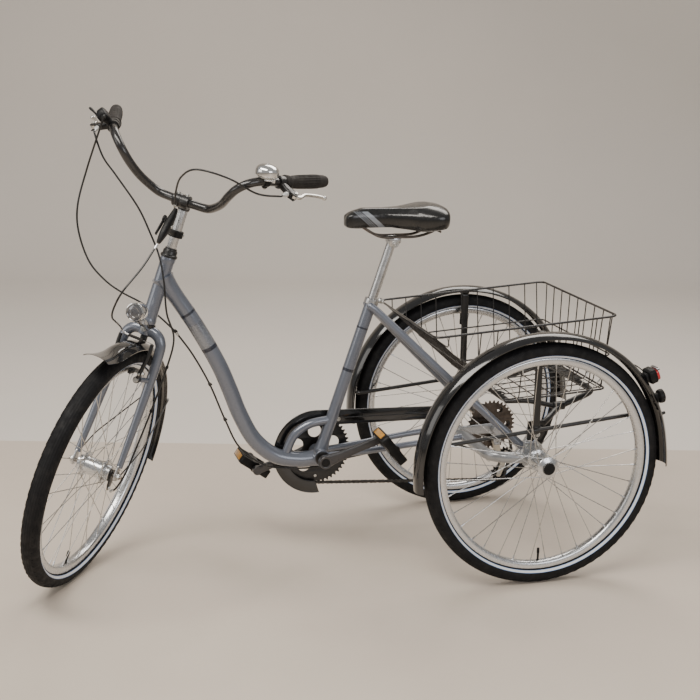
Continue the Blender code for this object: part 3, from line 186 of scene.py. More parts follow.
STRIPE_WHITE = material("reflective_stripe", (0.78, 0.81, 0.84), 0.28, 0.0, 0.3, 0.06, 30.0, 2400, 0.00003)
STRIPE_BLUE = material("stripe_edge_blue", (0.16, 0.30, 0.62), 0.30, 0.0, 0.3, 0.10, 30.0, 2400, 0.00003)
ALLOY = material("brushed_alloy", (0.60, 0.60, 0.60), 0.27, 1.0, 0.0, 0.05, 18.0, 900, 0.000006,
                 stretch=(1, 1, 1))
RIM_ALLOY = material("rim_alloy", (0.66, 0.67, 0.68), 0.24, 1.0, 0.0, 0.05, 14.0, 1600, 0.00001)
SPOKE_STEEL = material("spoke_steel", (0.50, 0.49, 0.47), 0.26, 1.0, 0.0, 0.12, 40.0, 2000, 0.00001)
CHROME = material("chrome_plate", (0.82, 0.82, 0.81), 0.07, 1.0, 0.0, 0.04, 20.0, 1200, 0.00001)
STEEL = material("oiled_steel", (0.33, 0.30, 0.27), 0.36, 1.0, 0.0, 0.25, 60.0, 1400, 0.00006, dust=0.10)
DARK_STEEL = material("dark_cassette_steel", (0.10, 0.085, 0.075), 0.38, 1.0, 0.0, 0.3, 60.0, 1400, 0.00006,
                      dust=0.06)
CHAIN_STEEL = material("chain_steel", (0.070, 0.068, 0.066), 0.40, 1.0, 0.0, 0.35, 80.0, 1200, 0.00008,
                       dust=0.08)
ZINC_BOLT = material("zinc_bolts", (0.56, 0.56, 0.54), 0.30, 1.0, 0.0, 0.10, 60.0, 1600, 0.00003)
DECAL_BLACK = material("black_band", (0.016, 0.020, 0.034), 0.28, 0.0, 0.5, 0.1, 20.0, 1500, 0.00001)
AMBER = material("amber_reflector", (0.55, 0.27, 0.05), 0.18, 0.0, 0.5, 0.25, 300.0, 900, 0.00020)
RED_LENS = material("red_lens", (0.50, 0.015, 0.02), 0.14, 0.0, 0.6, 0.2, 200.0, 700, 0.00025)
SMOKED_LENS = material("dark_reflector", (0.045, 0.018, 0.014), 0.20, 0.0, 0.6, 0.2, 300.0, 900, 0.00020)
LENS_CLEAR = material("lamp_lens", (0.17, 0.17, 0.18), 0.10, 0.60, 0.8, 0.2, 250.0, 600, 0.00030)
SADDLE_BLACK = material("saddle_cover", (0.0063, 0.0063, 0.0063), 0.24, 0.0, 0.35, 0.2, 10.0, 1300, 0.00015,
                        dust=0.008)
for rubber in (TYRE_BLACK, GRIP_RUBBER, PLASTIC_BLACK):
    rubber.node_tree.nodes["Principled BSDF"].inputs["Specular IOR Level"].default_value = 0.22


# ---- shape helpers -----------------------------------------------------------------------------
def made(name, mesh, finish, smooth):
    obj = bpy.data.objects.new(name, mesh)
    bpy.context.scene.collection.objects.link(obj)
    mesh.materials.append(finish)
    mesh.shade_smooth()
    mesh.set_sharp_from_angle(angle=math.radians(smooth))
    return obj


def loft(name, rings, finish, closed=False, caps=True, wrap=True, smooth=38.0):
    """A skin over rings with equal counts of points; closed joins the last ring to the first."""
    work = bmesh.new()
    rows = [[work.verts.new(p) for p in ring] for ring in rings]
    count = len(rows[0])
    pairs = list(zip(rows, rows[1:])) + ([(rows[-1], rows[0])] if closed else [])
    for first, second in pairs:
        for i in range(count if wrap else count - 1):
            j = (i + 1) % count
            work.faces.new((first[i], first[j], second[j], second[i]))
    if caps and not closed and wrap:
        work.faces.new(rows[0])
        work.faces.new(rows[-1])
    bmesh.ops.remove_doubles(work, verts=work.verts, dist=0.0000005)
    bmesh.ops.recalc_face_normals(work, faces=work.faces)
    mesh = bpy.data.meshes.new(name)
    work.to_mesh(mesh)
    work.free()
    return made(name, mesh, finish, smooth)


def spline(points, count):
    """Evenly spread points on a smooth curve through a route."""
    route = [Vector(p) for p in points]
    route = [2 * route[0] - route[1], *route, 2 * route[-1] - route[-2]]
    fine = []
    for a, b, c, d in zip(route, route[1:], route[2:], route[3:]):
        for step in range(24):
            t = step / 24
            fine.append(0.5 * (2 * b + (c - a) * t + (2 * a - 5 * b + 4 * c - d) * t ** 2
                               + (3 * b - a - 3 * c + d) * t ** 3))
    fine.append(route[-2])
    lengths = [0.0]
    for a, b in zip(fine, fine[1:]):
        lengths.append(lengths[-1] + (b - a).length)
    spread, k = [], 0
    for index in range(count):
        target = lengths[-1] * index / (count - 1)
        while k < len(lengths) - 2 and lengths[k + 1] < target:
            k += 1
        share = (target - lengths[k]) / max(lengths[k + 1] - lengths[k], 1e-9)
        spread.append(fine[k].lerp(fine[k + 1], min(share, 1.0)))
    return spread


def axes_along(path, up=None):
    """For each point of a path: the point, a side way and an up way that don't twist."""
    path = [Vector(p) for p in path]
    ways = []
    for index in range(len(path)):
        before, after = path[max(index - 1, 0)], path[min(index + 1, len(path) - 1)]
        ways.append((after - before).normalized())
    side = Vector(up) if up is not None else ways[0].orthogonal()
    side = (side - ways[0] * side.dot(ways[0])).normalized()
    out = []
    for index, (point, way) in enumerate(zip(path, ways)):
        if index:
            side = ways[index - 1].rotation_difference(way) @ side
            side = (side - way * side.dot(way)).normalized()
        out.append((point, side, way.cross(side)))
    return out


def sweep(name, path, radius, finish, sides=16, radii=None, squeeze=1.0, up=None, smooth=40.0, closed=False):
    """A round or oval bar along a path."""
    rings = []
    frames = axes_along(path, up)
    for index, (point, side, other) in enumerate(frames):
        r = radius * (radii[index] if radii else 1.0)
        rings.append([point + side * (r * math.cos(t)) + other * (r * squeeze * math.sin(t))
                      for t in (2 * math.pi * k / sides for k in range(sides))])
    return loft(name, rings, finish, closed=closed, smooth=smooth)


def on(origin, along, side=(1, 0, 0)):
    """A frame whose Z runs along a way and whose X is as near to side as it can be."""
    z = Vector(along).normalized()
    x = Vector(side) - z * z.dot(Vector(side))
    x = x.normalized() if x.length > 1e-6 else z.orthogonal().normalized()
    matrix = Matrix((x, z.cross(x), z)).transposed().to_4x4()
    matrix.translation = Vector(origin)
    return matrix


def lathe(name, profile, place, finish, steps=48, closed=False, smooth=35.0):
    """A profile of (radius, height) turned round local Z; closed for a ring with its own section."""
    rings = []
    for r, h in profile:
        rings.append([place @ Vector((r * math.cos(t), r * math.sin(t), h))
                      for t in (2 * math.pi * k / steps for k in range(steps))])
    return loft(name, rings, finish, closed=closed, caps=not closed, smooth=smooth)


def rounded(profile, radius=0.0008):
    """Cuts each corner of a profile twice, so that its edges catch the light."""
    out = []
    for index, point in enumerate(profile):
        if index in (0, len(profile) - 1):
            out.append(point)
            continue
        here = Vector((*point, 0))
        for other in (profile[index - 1], profile[index + 1]):
            way = Vector((*other, 0)) - here
            step = min(radius, way.length * 0.4)
            spot = here + way.normalized() * step if way.length > 1e-9 else here
            out.append((spot.x, spot.y))
    return out


def bolt(name, at, way, radius, height, finish=None, sides=6, washer=True):
    """A hexagon head with a socket dimple on a washer."""
    place = on(at, way)
    profile = [(0, 0), (radius, 0), (radius, height * 0.75), (radius * 0.86, height), (radius * 0.45, height),
               (radius * 0.40, height * 0.45), (0, height * 0.45)]
    pieces = [lathe(name, profile, place, finish or ZINC_BOLT, sides, smooth=20)]
    if washer:
        rim = rounded([(0, -0.0001), (radius * 1.35, -0.0001), (radius * 1.35, height * 0.22),
                       (0, height * 0.22)], 0.0003)
        pieces.append(lathe(name + "_w", rim, place, finish or ZINC_BOLT, 20))
    return join(name, pieces)


def prism(name, outline, thickness, place, finish, holes=(), bevel=0.0006, smooth=35.0):
    """A flat outline with holes, given a thickness and rounded edges, in its own frame."""
    curve = bpy.data.curves.new(name, "CURVE")
    curve.dimensions = "2D"
    curve.fill_mode = "BOTH"
    curve.extrude = thickness / 2 - bevel
    curve.bevel_depth = bevel
    curve.bevel_resolution = 1
    curve.offset = -bevel
    for outline_loop in (outline, *holes):
        part = curve.splines.new("POLY")
        part.points.add(len(outline_loop) - 1)
        part.use_cyclic_u = True
        for spot, (x, y) in zip(part.points, outline_loop):
            spot.co = (x, y, 0.0, 1.0)
    holder = bpy.data.objects.new(name, curve)
    bpy.context.scene.collection.objects.link(holder)
    bpy.context.view_layer.update()
    mesh = bpy.data.meshes.new_from_object(holder.evaluated_get(bpy.context.evaluated_depsgraph_get()))
    bpy.data.objects.remove(holder, do_unlink=True)
    work = bmesh.new()
    work.from_mesh(mesh)
    bmesh.ops.remove_doubles(work, verts=work.verts, dist=0.000005)
    bmesh.ops.recalc_face_normals(work, faces=work.faces)
    work.to_mesh(mesh)
    work.free()
    mesh.transform(place)
    mesh.materials.clear()
    return made(name, mesh, finish, smooth)


def bar(name, start, end, width, height, finish, side=(1, 0, 0), bevel=0.0012):
    """A bar with a rounded rectangular section between two points."""
    start, end = Vector(start), Vector(end)
    place = on(start, end - start, side)
    w, h = width / 2, height / 2
    section = []
    for cx, cy, base in ((w - bevel, h - bevel, 0), (-w + bevel, h - bevel, 90),
                         (-w + bevel, -h + bevel, 180),
                         (w - bevel, -h + bevel, 270)):
        for extra in (0, 30, 60, 90):
            a = math.radians(base + extra)
            section.append((cx + bevel * math.cos(a), cy + bevel * math.sin(a)))
    length = (end - start).length
    rings = []
    for height_at, grow in ((0, bevel), (bevel, 0), (length - bevel, 0), (length, bevel)):
        kx, ky = (w - grow) / w, (h - grow) / h
        rings.append([place @ Vector((x * kx, y * ky, height_at)) for x, y in section])
    return loft(name, rings, finish, smooth=35)


def join(name, pieces):
    """Puts several pieces with their own finishes into one object."""
    if len(pieces) == 1:
        pieces[0].name = name
        pieces[0].data.name = name
        return pieces[0]
    work = bmesh.new()
    finishes = []
    for piece in pieces:
        mesh = piece.data
        offsets = []
        for finish in mesh.materials:
            if finish not in finishes:
                finishes.append(finish)
            offsets.append(finishes.index(finish))
        start = len(work.faces)
        work.from_mesh(mesh)
        work.faces.ensure_lookup_table()
        for face in work.faces[start:]:
            face.material_index = offsets[min(face.material_index, len(offsets) - 1)]
    mesh = bpy.data.meshes.new(name)
    work.to_mesh(mesh)
    work.free()
    for finish in finishes:
        mesh.materials.append(finish)
    for piece in pieces:
        bpy.data.objects.remove(piece, do_unlink=True)
    obj = bpy.data.objects.new(name, mesh)
    bpy.context.scene.collection.objects.link(obj)
    return obj


def show(piece, body, *nodes, slot=None):
    """Rides a piece on its body and lets it stand for CAD nodes."""
    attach(piece, body)
    if nodes:
        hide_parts(*nodes)
    return piece


def circle(radius, count, centre=(0.0, 0.0), start=0.0):
    return [(centre[0] + radius * math.cos(start + 2 * math.pi * k / count),
             centre[1] + radius * math.sin(start + 2 * math.pi * k / count)) for k in range(count)]


def side_frame(x, y, z):
    """Stands a plate across X: its own X runs back and its own Y runs up."""
    at = world((x, y, z))
    return Matrix(((0, 0, 1, at.x), (1, 0, 0, at.y), (0, 1, 0, at.z), (0, 0, 0, 1)))


# ---- camera, floor and light -------------------------------------------------------------------
def make_stage():
    camera = bpy.data.objects.new("camera", bpy.data.cameras.new("camera"))
    bpy.context.scene.collection.objects.link(camera)
    yaw, pitch, roll = math.radians(15.95), math.radians(13.83), math.radians(0.81)
    ahead = Vector((-math.cos(yaw) * math.cos(pitch), math.sin(yaw) * math.cos(pitch), -math.sin(pitch)))
    right = ahead.cross(Vector((0, 0, 1))).normalized()
    up = right.cross(ahead)
    right, up = right * math.cos(roll) + up * math.sin(roll), up * math.cos(roll) - right * math.sin(roll)
    placed = Matrix((right, up, -ahead)).transposed().to_4x4()
    placed.translation = world((3.351, -1.394, 1.438))
    camera.matrix_world = placed
    camera.data.sensor_width = 36.0
    camera.data.lens = 68.35
    camera.data.clip_end = 60
    bpy.context.scene.camera = camera

    floor_paint = material("pale_floor", (0.66, 0.575, 0.485), 0.42, 0.0, 0.0, 0.02, 1.2, 40, 0.0002)
    wall_paint = material("pale_wall", (0.73, 0.68, 0.62), 0.9, 0.0, 0.0, 0.02, 1.0, 60, 0.0003)
    away = Vector((-math.cos(yaw), math.sin(yaw), 0))
    across = Vector((-away.y, away.x, 0))
    cove = [(3.9 + math.sin(math.radians(a)), 1.0 - math.cos(math.radians(a))) for a in range(0, 91, 6)]
    for name, paint, profile in (("floor", floor_paint, [(-14.0, 0.0), (0.97, 0.0)]),
                                 ("backdrop", wall_paint, [(0.97, 0.0)] + cove + [(4.9, 8.0)])):
        rings = [[across * side + away * d + Vector((0, 0, z)) for side in (-16.0, 16.0)] for d, z in profile]
        loft(name, rings, paint, wrap=False, caps=False)

    def lamp(name, at, size, power, colour, target=(0, -0.1, 0.5)):
        light = bpy.data.objects.new(name, bpy.data.lights.new(name, "AREA"))
        light.data.shape = "RECTANGLE"
        light.data.size, light.data.size_y = size
        light.data.energy = power
        light.data.color = colour
        light.location = Vector(at)
        light.rotation_mode = "QUATERNION"
        light.rotation_quaternion = (Vector(target) - Vector(at)).to_track_quat("-Z", "Y")
        bpy.context.scene.collection.objects.link(light)

    lamp("ceiling_key", (1.2, -1.6, 3.4), (3.2, 1.2), 118, (1.0, 0.95, 0.88))
    lamp("ceiling_back", (-1.6, 1.8, 3.5), (3.2, 1.4), 84, (1.0, 0.94, 0.87))
    lamp("side_fill", (4.4, 1.6, 2.2), (2.4, 2.0), 45, (0.97, 0.97, 1.0))
    lamp("front_fill", (0.6, -5.0, 2.2), (3.0, 2.0), 40, (1.0, 0.96, 0.91))
    sky = bpy.data.worlds.new("studio")
    bpy.context.scene.world = sky
    sky.use_nodes = True
    sky.node_tree.nodes["Background"].inputs["Color"].default_value = (0.88, 0.86, 0.84, 1)
    sky.node_tree.nodes["Background"].inputs["Strength"].default_value = 0.42


make_stage()


# ---- more shape helpers ------------------------------------------------------------------------
def lofts(name, many, finish, closed=False, smooth=38.0):
    """Many skins at once, each over its own rings, as one object."""
    work = bmesh.new()
    for rings in many:
        rows = [[work.verts.new(p) for p in ring] for ring in rings]
        count = len(rows[0])
        for first, second in list(zip(rows, rows[1:])) + ([(rows[-1], rows[0])] if closed else []):
            for i in range(count):
                j = (i + 1) % count
                work.faces.new((first[i], first[j], second[j], second[i]))
        if not closed:
            work.faces.new(rows[0])
            work.faces.new(rows[-1])
    bmesh.ops.recalc_face_normals(work, faces=work.faces)
    mesh = bpy.data.meshes.new(name)
    work.to_mesh(mesh)
    work.free()
    return made(name, mesh, finish, smooth)


def wires(name, routes, finish, sides=8, closed=False):
    """Round wires, each given as (path, radius)."""
    many = []
    for path, radius in routes:
        many.append([[p + side * (radius * math.cos(t)) + other * (radius * math.sin(t))
                      for t in (2 * math.pi * k / sides for k in range(sides))]
                     for p, side, other in axes_along(path)])
    return lofts(name, many, finish, closed, 50)


def rod(name, start, end, radius, finish, steps=24, edge=0.0006):
    """A straight bar with softened ends."""
    length = (Vector(end) - Vector(start)).length
    edge = min(edge, radius * 0.4, length * 0.3)
    return lathe(name, [(0, 0), (radius - edge, 0), (radius, edge), (radius, length - edge),
                        (radius - edge, length),
                        (0, length)], on(start, Vector(end) - Vector(start)), finish, steps)


def soften(outline, radius=0.003, steps=4):
    """Rounds the corners of a flat outline."""
    out = []
    count = len(outline)
    for index in range(count):
        here = Vector(outline[index])
        before, after = Vector(outline[index - 1]), Vector(outline[(index + 1) % count])
        a = here + (before - here).normalized() * min(radius, (before - here).length * 0.45)
        b = here + (after - here).normalized() * min(radius, (after - here).length * 0.45)
        for step in range(steps + 1):
            t = step / steps
            p = a * (1 - t) ** 2 + here * 2 * t * (1 - t) + b * t ** 2
            out.append((p.x, p.y))
    return out


def rel(points):
    return [world(p) for p in points]


# ---- frame -------------------------------------------------------------------------------------
BB = (0.0, -0.520, 0.290)
SEAT_TOP = (0.0, -0.376, 0.719)
SEAT_WAY = (Vector(SEAT_TOP) - Vector(BB)).normalized()
MAIN_PATH = [(0, -0.938, 0.800), (0, -0.928, 0.782), (0, -0.860, 0.678), (0, -0.800, 0.570),
             (0, -0.768, 0.4945),
             (0, -0.739, 0.4185), (0, -0.701, 0.348), (0, -0.645, 0.298), (0, -0.585, 0.282),
             (0, -0.520, 0.282)]


def make_main_frame():
    length = 0.179
    head = [(0.0140, 0.0), (0.0196, 0.0), (0.0200, 0.0008), (0.0200, 0.0110), (0.0190, 0.0130),
            (0.0187, 0.0200),
            (0.0187, length - 0.0200), (0.0190, length - 0.0130), (0.0200, length - 0.0110),
            (0.0200, length - 0.0008), (0.0196, length), (0.0140, length)]
    show(lathe("head_shell", head, STEER @ Matrix.Translation((0, 0, 0.394)), SILVER_PAINT, 56), "frame",
         "head_tube",
         slot="frame_paint")
    path = spline(rel(MAIN_PATH), 170)
    radii = [1.0 + 0.34 * max(0.0, 1 - i / 20) ** 2.2 + 0.10 * max(0.0, (i - 155) / 15) ** 2
             for i in range(170)]
    main = [sweep("down_tube", path, 0.0215, SILVER_PAINT, 40, radii)]

    def at_height(z):
        for a, b in zip(path, path[1:]):
            if b.z <= z <= a.z:
                return a.lerp(b, (a.z - z) / (a.z - b.z))

    def sleeve(name, high_z, low_z, finish, lift):
        count = max(3, round((high_z - low_z) / 0.003))
        chosen = [at_height(high_z + (low_z - high_z) * k / count) for k in range(count + 1)]
        main.append(sweep(name, chosen, 0.0215 + lift, finish, 40))

    sleeve("down_tube_dots", 0.6760, 0.6140, dotted_paint("dotted_panel", 0.676, 0.622), 0.00012)
    sleeve("down_tube_thin_band", 0.7060, 0.7005, DECAL_BLACK, 0.00020)
    sleeve("down_tube_wide_band", 0.6130, 0.6040, DECAL_BLACK, 0.00020)
    show(join("down_tube", main), "frame", "main_tube", slot="frame_paint")

    shell = [lathe("bottom_shell", rounded([(0.0120, -0.0340), (0.0218, -0.0340), (0.0218, 0.0340),
                                            (0.0120, 0.0340)], 0.0008),
                   on(world(BB), (1, 0, 0)), SILVER_PAINT, 48)]
    for side in (1, -1):
        cup = [(0.0088, 0.0), (0.0185, 0.0), (0.0195, 0.0010), (0.0195, 0.0042), (0.0160, 0.0052),
               (0.0088, 0.0052)]
        shell.append(lathe("cup", cup, on(world((side * 0.0338, BB[1], BB[2])), (side, 0, 0)), SATIN_BLACK,
                           32))
    show(join("bottom_shell", shell), "frame", "bottom_bracket_shell", slot="frame_paint")

    top = world(SEAT_TOP)
    foot = world(BB) + SEAT_WAY * 0.012
    reach = (top - foot).length
    seat = [sweep("seat_mast", [foot + SEAT_WAY * (reach * k / 40) for k in range(41)], 0.0160, SILVER_PAINT,
                  36,
                  [1.0 + 0.22 * max(0.0, 1 - k / 3.0) for k in range(41)])]
    for z_high, z_low in ((0.6430, 0.6385), (0.5300, 0.5225)):
        a = (z_low - foot.z) / SEAT_WAY.z
        b = (z_high - foot.z) / SEAT_WAY.z
        seat.append(sweep("seat_band", [foot + SEAT_WAY * (a + (b - a) * k / 3) for k in range(4)], 0.01618,
                          DECAL_BLACK, 36))
    collar = rounded([(0.0158, -0.0150), (0.0192, -0.0150), (0.0198, -0.0075), (0.0192, 0.0), (0.0140, 0.0)],
                     0.0010)
    seat.append(lathe("seat_collar", collar, on(top, SEAT_WAY), ALLOY, 40))
    ear = top - SEAT_WAY * 0.0075
    seat.append(bar("collar_ear", ear + Vector((-0.0078, 0.024, 0)), ear + Vector((0.0078, 0.024, 0)), 0.012,
                    0.014, ALLOY,
                    SEAT_WAY, 0.003))
    seat.append(rod("collar_bolt", ear + Vector((-0.0180, 0.027, 0)), ear + Vector((0.0170, 0.027, 0)),
                    0.0027, ZINC_BOLT, 16))
    seat.append(bolt("collar_head", ear + Vector((0.0080, 0.027, 0)), (1, 0, 0), 0.0048, 0.006))
    seat.append(bolt("collar_nut", ear + Vector((-0.0080, 0.027, 0)), (-1, 0, 0), 0.0052, 0.007))
    show(join("seat_mast", seat), "frame", "seat_tube", slot="frame_paint")

    loop = spline(rel([(0, -0.474, 0.390), (0, -0.500, 0.387), (0, -0.550, 0.378), (0, -0.590, 0.350),
                       (0, -0.610, 0.310),
                       (0, -0.616, 0.290)]), 60)
    show(sweep("loop_bar", loop, 0.0120, SILVER_PAINT, 28), "frame", "loop_tube", slot="frame_paint")


def dotted_paint(name, high_z, low_z):
    """The frame's paint under a panel of small dark dots that thin out downwards."""
    paint = material(name, (0.235, 0.250, 0.280), 0.26, 0.62, 0.85, 0.08, 5.0, 1400, 0.00002, 0.5)
    nodes, links = paint.node_tree.nodes, paint.node_tree.links
    shader = nodes["Principled BSDF"]
    tint = shader.inputs["Base Color"].links[0].from_socket
    coord = nodes.new("ShaderNodeTexCoord")
    dots = nodes.new("ShaderNodeTexVoronoi")
    dots.inputs["Scale"].default_value = 420.0
    dots.inputs["Randomness"].default_value = 0.45
    links.new(coord.outputs["Object"], dots.inputs["Vector"])
    split = nodes.new("ShaderNodeSeparateXYZ")
    links.new(coord.outputs["Object"], split.inputs[0])
    size = nodes.new("ShaderNodeMapRange")
    for label, value in (("From Min", low_z), ("From Max", high_z), ("To Min", 0.10), ("To Max", 0.42)):
        size.inputs[label].default_value = value
    links.new(split.outputs["Z"], size.inputs["Value"])
    inside = nodes.new("ShaderNodeMath")
    inside.operation = "LESS_THAN"
    links.new(dots.outputs["Distance"], inside.inputs[0])
    links.new(size.outputs["Result"], inside.inputs[1])
    mix = nodes.new("ShaderNodeMix")
    mix.data_type = "RGBA"
    links.new(inside.outputs[0], mix.inputs["Factor"])
    links.new(tint, mix.inputs["A"])
    mix.inputs["B"].default_value = (0.050, 0.060, 0.085, 1)
    links.new(mix.outputs["Result"], shader.inputs["Base Color"])
    return paint


def make_stays():
    for side, word in ((1, "left"), (-1, "right")):
        route = rel([(side * 0.0170, -0.3860, 0.7020), (side * 0.030, -0.352, 0.672),
                     (side * 0.115, -0.190, 0.512),
                     (side * 0.200, -0.036, 0.3640), (side * 0.212, -0.012, 0.3410)])
        path = spline(route, 90)
        radii = [1.0] * 90
        stay = [sweep("stay", path, 0.0110, SILVER_PAINT, 28, radii, up=(0, 0, 1))]
        tip = path[0]
        stay.append(lathe("stay_tip", [(0, -0.010), (0.0060, -0.0085), (0.0098, -0.0035), (0.0110, 0.0020),
                                       (0, 0.0020)],
                          on(tip, path[1] - path[0]), SILVER_PAINT, 24))
        show(join("upper_stay_" + word, stay), "frame", "seat_stay_" + word, slot="frame_paint")
        route = rel([(side * 0.0240, BB[1] + 0.004, BB[2] + 0.004), (side * 0.0355, -0.400, 0.302),
                     (side * 0.045, -0.250, 0.317), (side * 0.045, -0.112, AXLE_Z)])
        show(sweep("lower_stay_" + word, spline(route, 60), 0.0088, SILVER_PAINT, 24), "frame",
             "chain_stay_" + word,
             slot="frame_paint")


def make_rear_subframe():
    half = [(0.000, -0.112), (0.090, -0.112), (0.175, -0.112), (0.212, -0.106), (0.238, -0.084),
            (0.251, -0.050),
            (0.255, -0.018)]
    path = spline(rel([(-x, y, AXLE_Z) for x, y in reversed(half[1:])] + [(x, y, AXLE_Z) for x, y in half]),
                  150)
    pieces = [sweep("cross_bar", path, 0.0150, CROSS_SILVER, 32)]
    outline = soften([(-0.030, -0.022), (0.014, -0.022), (0.024, -0.006), (0.024, 0.030), (0.010, 0.044),
                      (-0.030, 0.044)], 0.005)
    for side in (1, -1):
        place = side_frame(side * 0.258, 0, AXLE_Z)
        pieces.append(prism("dropout", outline, 0.006, place, CROSS_SILVER,
                            [circle(0.0046, 16, (-0.021, 0.035)),
                                                                             circle(0.0046, 16,
                                                                                 (0.012, 0.033))], 0.0010))
        boss = rounded([(0.0080, -0.010), (0.0145, -0.010), (0.0145, 0.010), (0.0080, 0.010)], 0.0010)
        pieces.append(lathe("axle_boss", boss, on(world((side * 0.258, 0, AXLE_Z)), (1, 0, 0)), CROSS_SILVER,
                            36))
    middle = soften([(-0.112, -0.012), (-0.010, -0.014), (-0.004, -0.050), (0.014, -0.050), (0.016, 0.010),
                     (0.000, 0.016),
                     (-0.112, 0.012)], 0.004)
    pieces.append(prism("middle_plate", middle, 0.006, side_frame(-0.008, 0, AXLE_Z), CROSS_SILVER,
                        [circle(0.0040, 14, (0.004, -0.040))], 0.0010))
    pieces.append(lathe("middle_bearing", rounded([(0.0086, -0.014), (0.0150, -0.014), (0.0150, 0.014),
                                                   (0.0086, 0.014)], 0.001),
                        on(world((-0.002, 0, AXLE_Z)), (1, 0, 0)), CROSS_SILVER, 36))
    pieces.append(rod("stub_axle", world((0.2360, 0, AXLE_Z)), world((0.3600, 0, AXLE_Z)), 0.0080, STEEL, 28))
    nut = [(0.0080, 0), (0.0122, 0), (0.0122, 0.0075), (0.0105, 0.0090), (0.0080, 0.0090)]
    pieces.append(lathe("stub_nut", nut, on(world((0.2480, 0, AXLE_Z)), (-1, 0, 0)), ZINC_BOLT, 6, smooth=20))
    for side in (1, -1):
        for y, z in ((-0.021, 0.035), (0.012, 0.033)):
            pieces.append(bolt("dropout_bolt", world((side * 0.2611, y, AXLE_Z + z)), (side, 0, 0), 0.0050,
                               0.0050))
    show(join("axle_frame", pieces), "frame", "rear_subframe", slot="frame_paint")


CROSS_SILVER = material("cross_tube_paint", (0.36, 0.37, 0.385), 0.30, 0.60, 0.6, 0.08, 6.0, 1200, 0.00002,
                        0.4)
make_main_frame()
make_stays()
make_rear_subframe()


# ---- wheels ------------------------------------------------------------------------------------
def ring_place(place, points, steps, start=0.0, end=2 * math.pi):
    return [[place @ Vector((r * math.cos(t), r * math.sin(t), h)) for r, h in points]
            for t in (start + (end - start) * k / steps for k in range(steps))]


def tyre_profile():
    outer = []
    for angle in range(-104, 105, 4):
        lift = 0.0
        if abs(angle) < 52 and abs(angle) % 16 == 8:
            lift = -0.0009
        a = math.radians(angle)
        outer.append((0.3030 + (0.0235 + lift) * math.cos(a), (0.0235 + lift) * math.sin(a)))
    outer[0] = (outer[0][0], -0.0226)
    outer[-1] = (outer[-1][0], 0.0226)
    return ([(0.2868, -0.0128), (0.2900, -0.0165), (0.2945, -0.0204)] + outer
            + [(0.2945, 0.0204), (0.2900, 0.0165), (0.2868, 0.0128), (0.2868, 0.0100), (0.2950, 0.0150),
               (0.3030, 0.0190), (0.3180, 0.0110), (0.3215, 0.0), (0.3180, -0.0110), (0.3030, -0.0190),
               (0.2950, -0.0150), (0.2868, -0.0100)])


def make_tyre(name, place, body, node):
    pieces = [loft(name, ring_place(place, tyre_profile(), 128), TYRE_BLACK, closed=True, smooth=55)]
    blocks = []
    for side in (1, -1):
        for k in range(76):
            for near, far, lean in ((35, 50, 0.35), (54, 68, 0.75)):
                rings = []
                for angle, shift in ((near, 0.0), (far, lean)):
                    turn = 2 * math.pi * (k + shift * 0.6 + (0.5 if near > 50 else 0)) / 76
                    a = math.radians(angle) * side
                    ring = []
                    for along, rise in ((-0.0052, -0.0010), (0.0052, -0.0010), (0.0046, 0.0008),
                                        (-0.0046, 0.0008)):
                        r = 0.3030 + (0.0235 + rise) * math.cos(a)
                        t = turn + along / 0.32
                        ring.append(place @ Vector((r * math.cos(t), r * math.sin(t),
                                                    (0.0235 + rise) * math.sin(a))))
                    rings.append(ring)
                blocks.append(rings)
    pieces.append(lofts("tread", blocks, TYRE_BLACK, smooth=20))
    for side in (1, -1):
        wall = [(0.2903, 0.01705), (0.2930, 0.01955), (0.2957, 0.02145)]
        lower, upper = wall[0], wall[-1]
        band = [(lower[0], side * lower[1]), (wall[1][0], side * (wall[1][1] + 0.0003)),
                (upper[0], side * upper[1]),
                (upper[0] + 0.0004, side * (upper[1] - 0.0012)),
                (lower[0] + 0.0004, side * (lower[1] - 0.0012))]
        pieces.append(loft("stripe", ring_place(place, band, 128), STRIPE_WHITE, closed=True, smooth=60))
        for r, h in (lower, upper):
            edge = [(r - 0.00055, side * (h - 0.0004)), (r, side * (h + 0.00025)),
                    (r + 0.00055, side * (h + 0.0002)),
                    (r, side * (h - 0.0010))]
            pieces.append(loft("stripe_edge", ring_place(place, edge, 128), STRIPE_BLUE, closed=True,
                               smooth=60))
    show(join(name, pieces), body, node, slot="tyre_rubber")


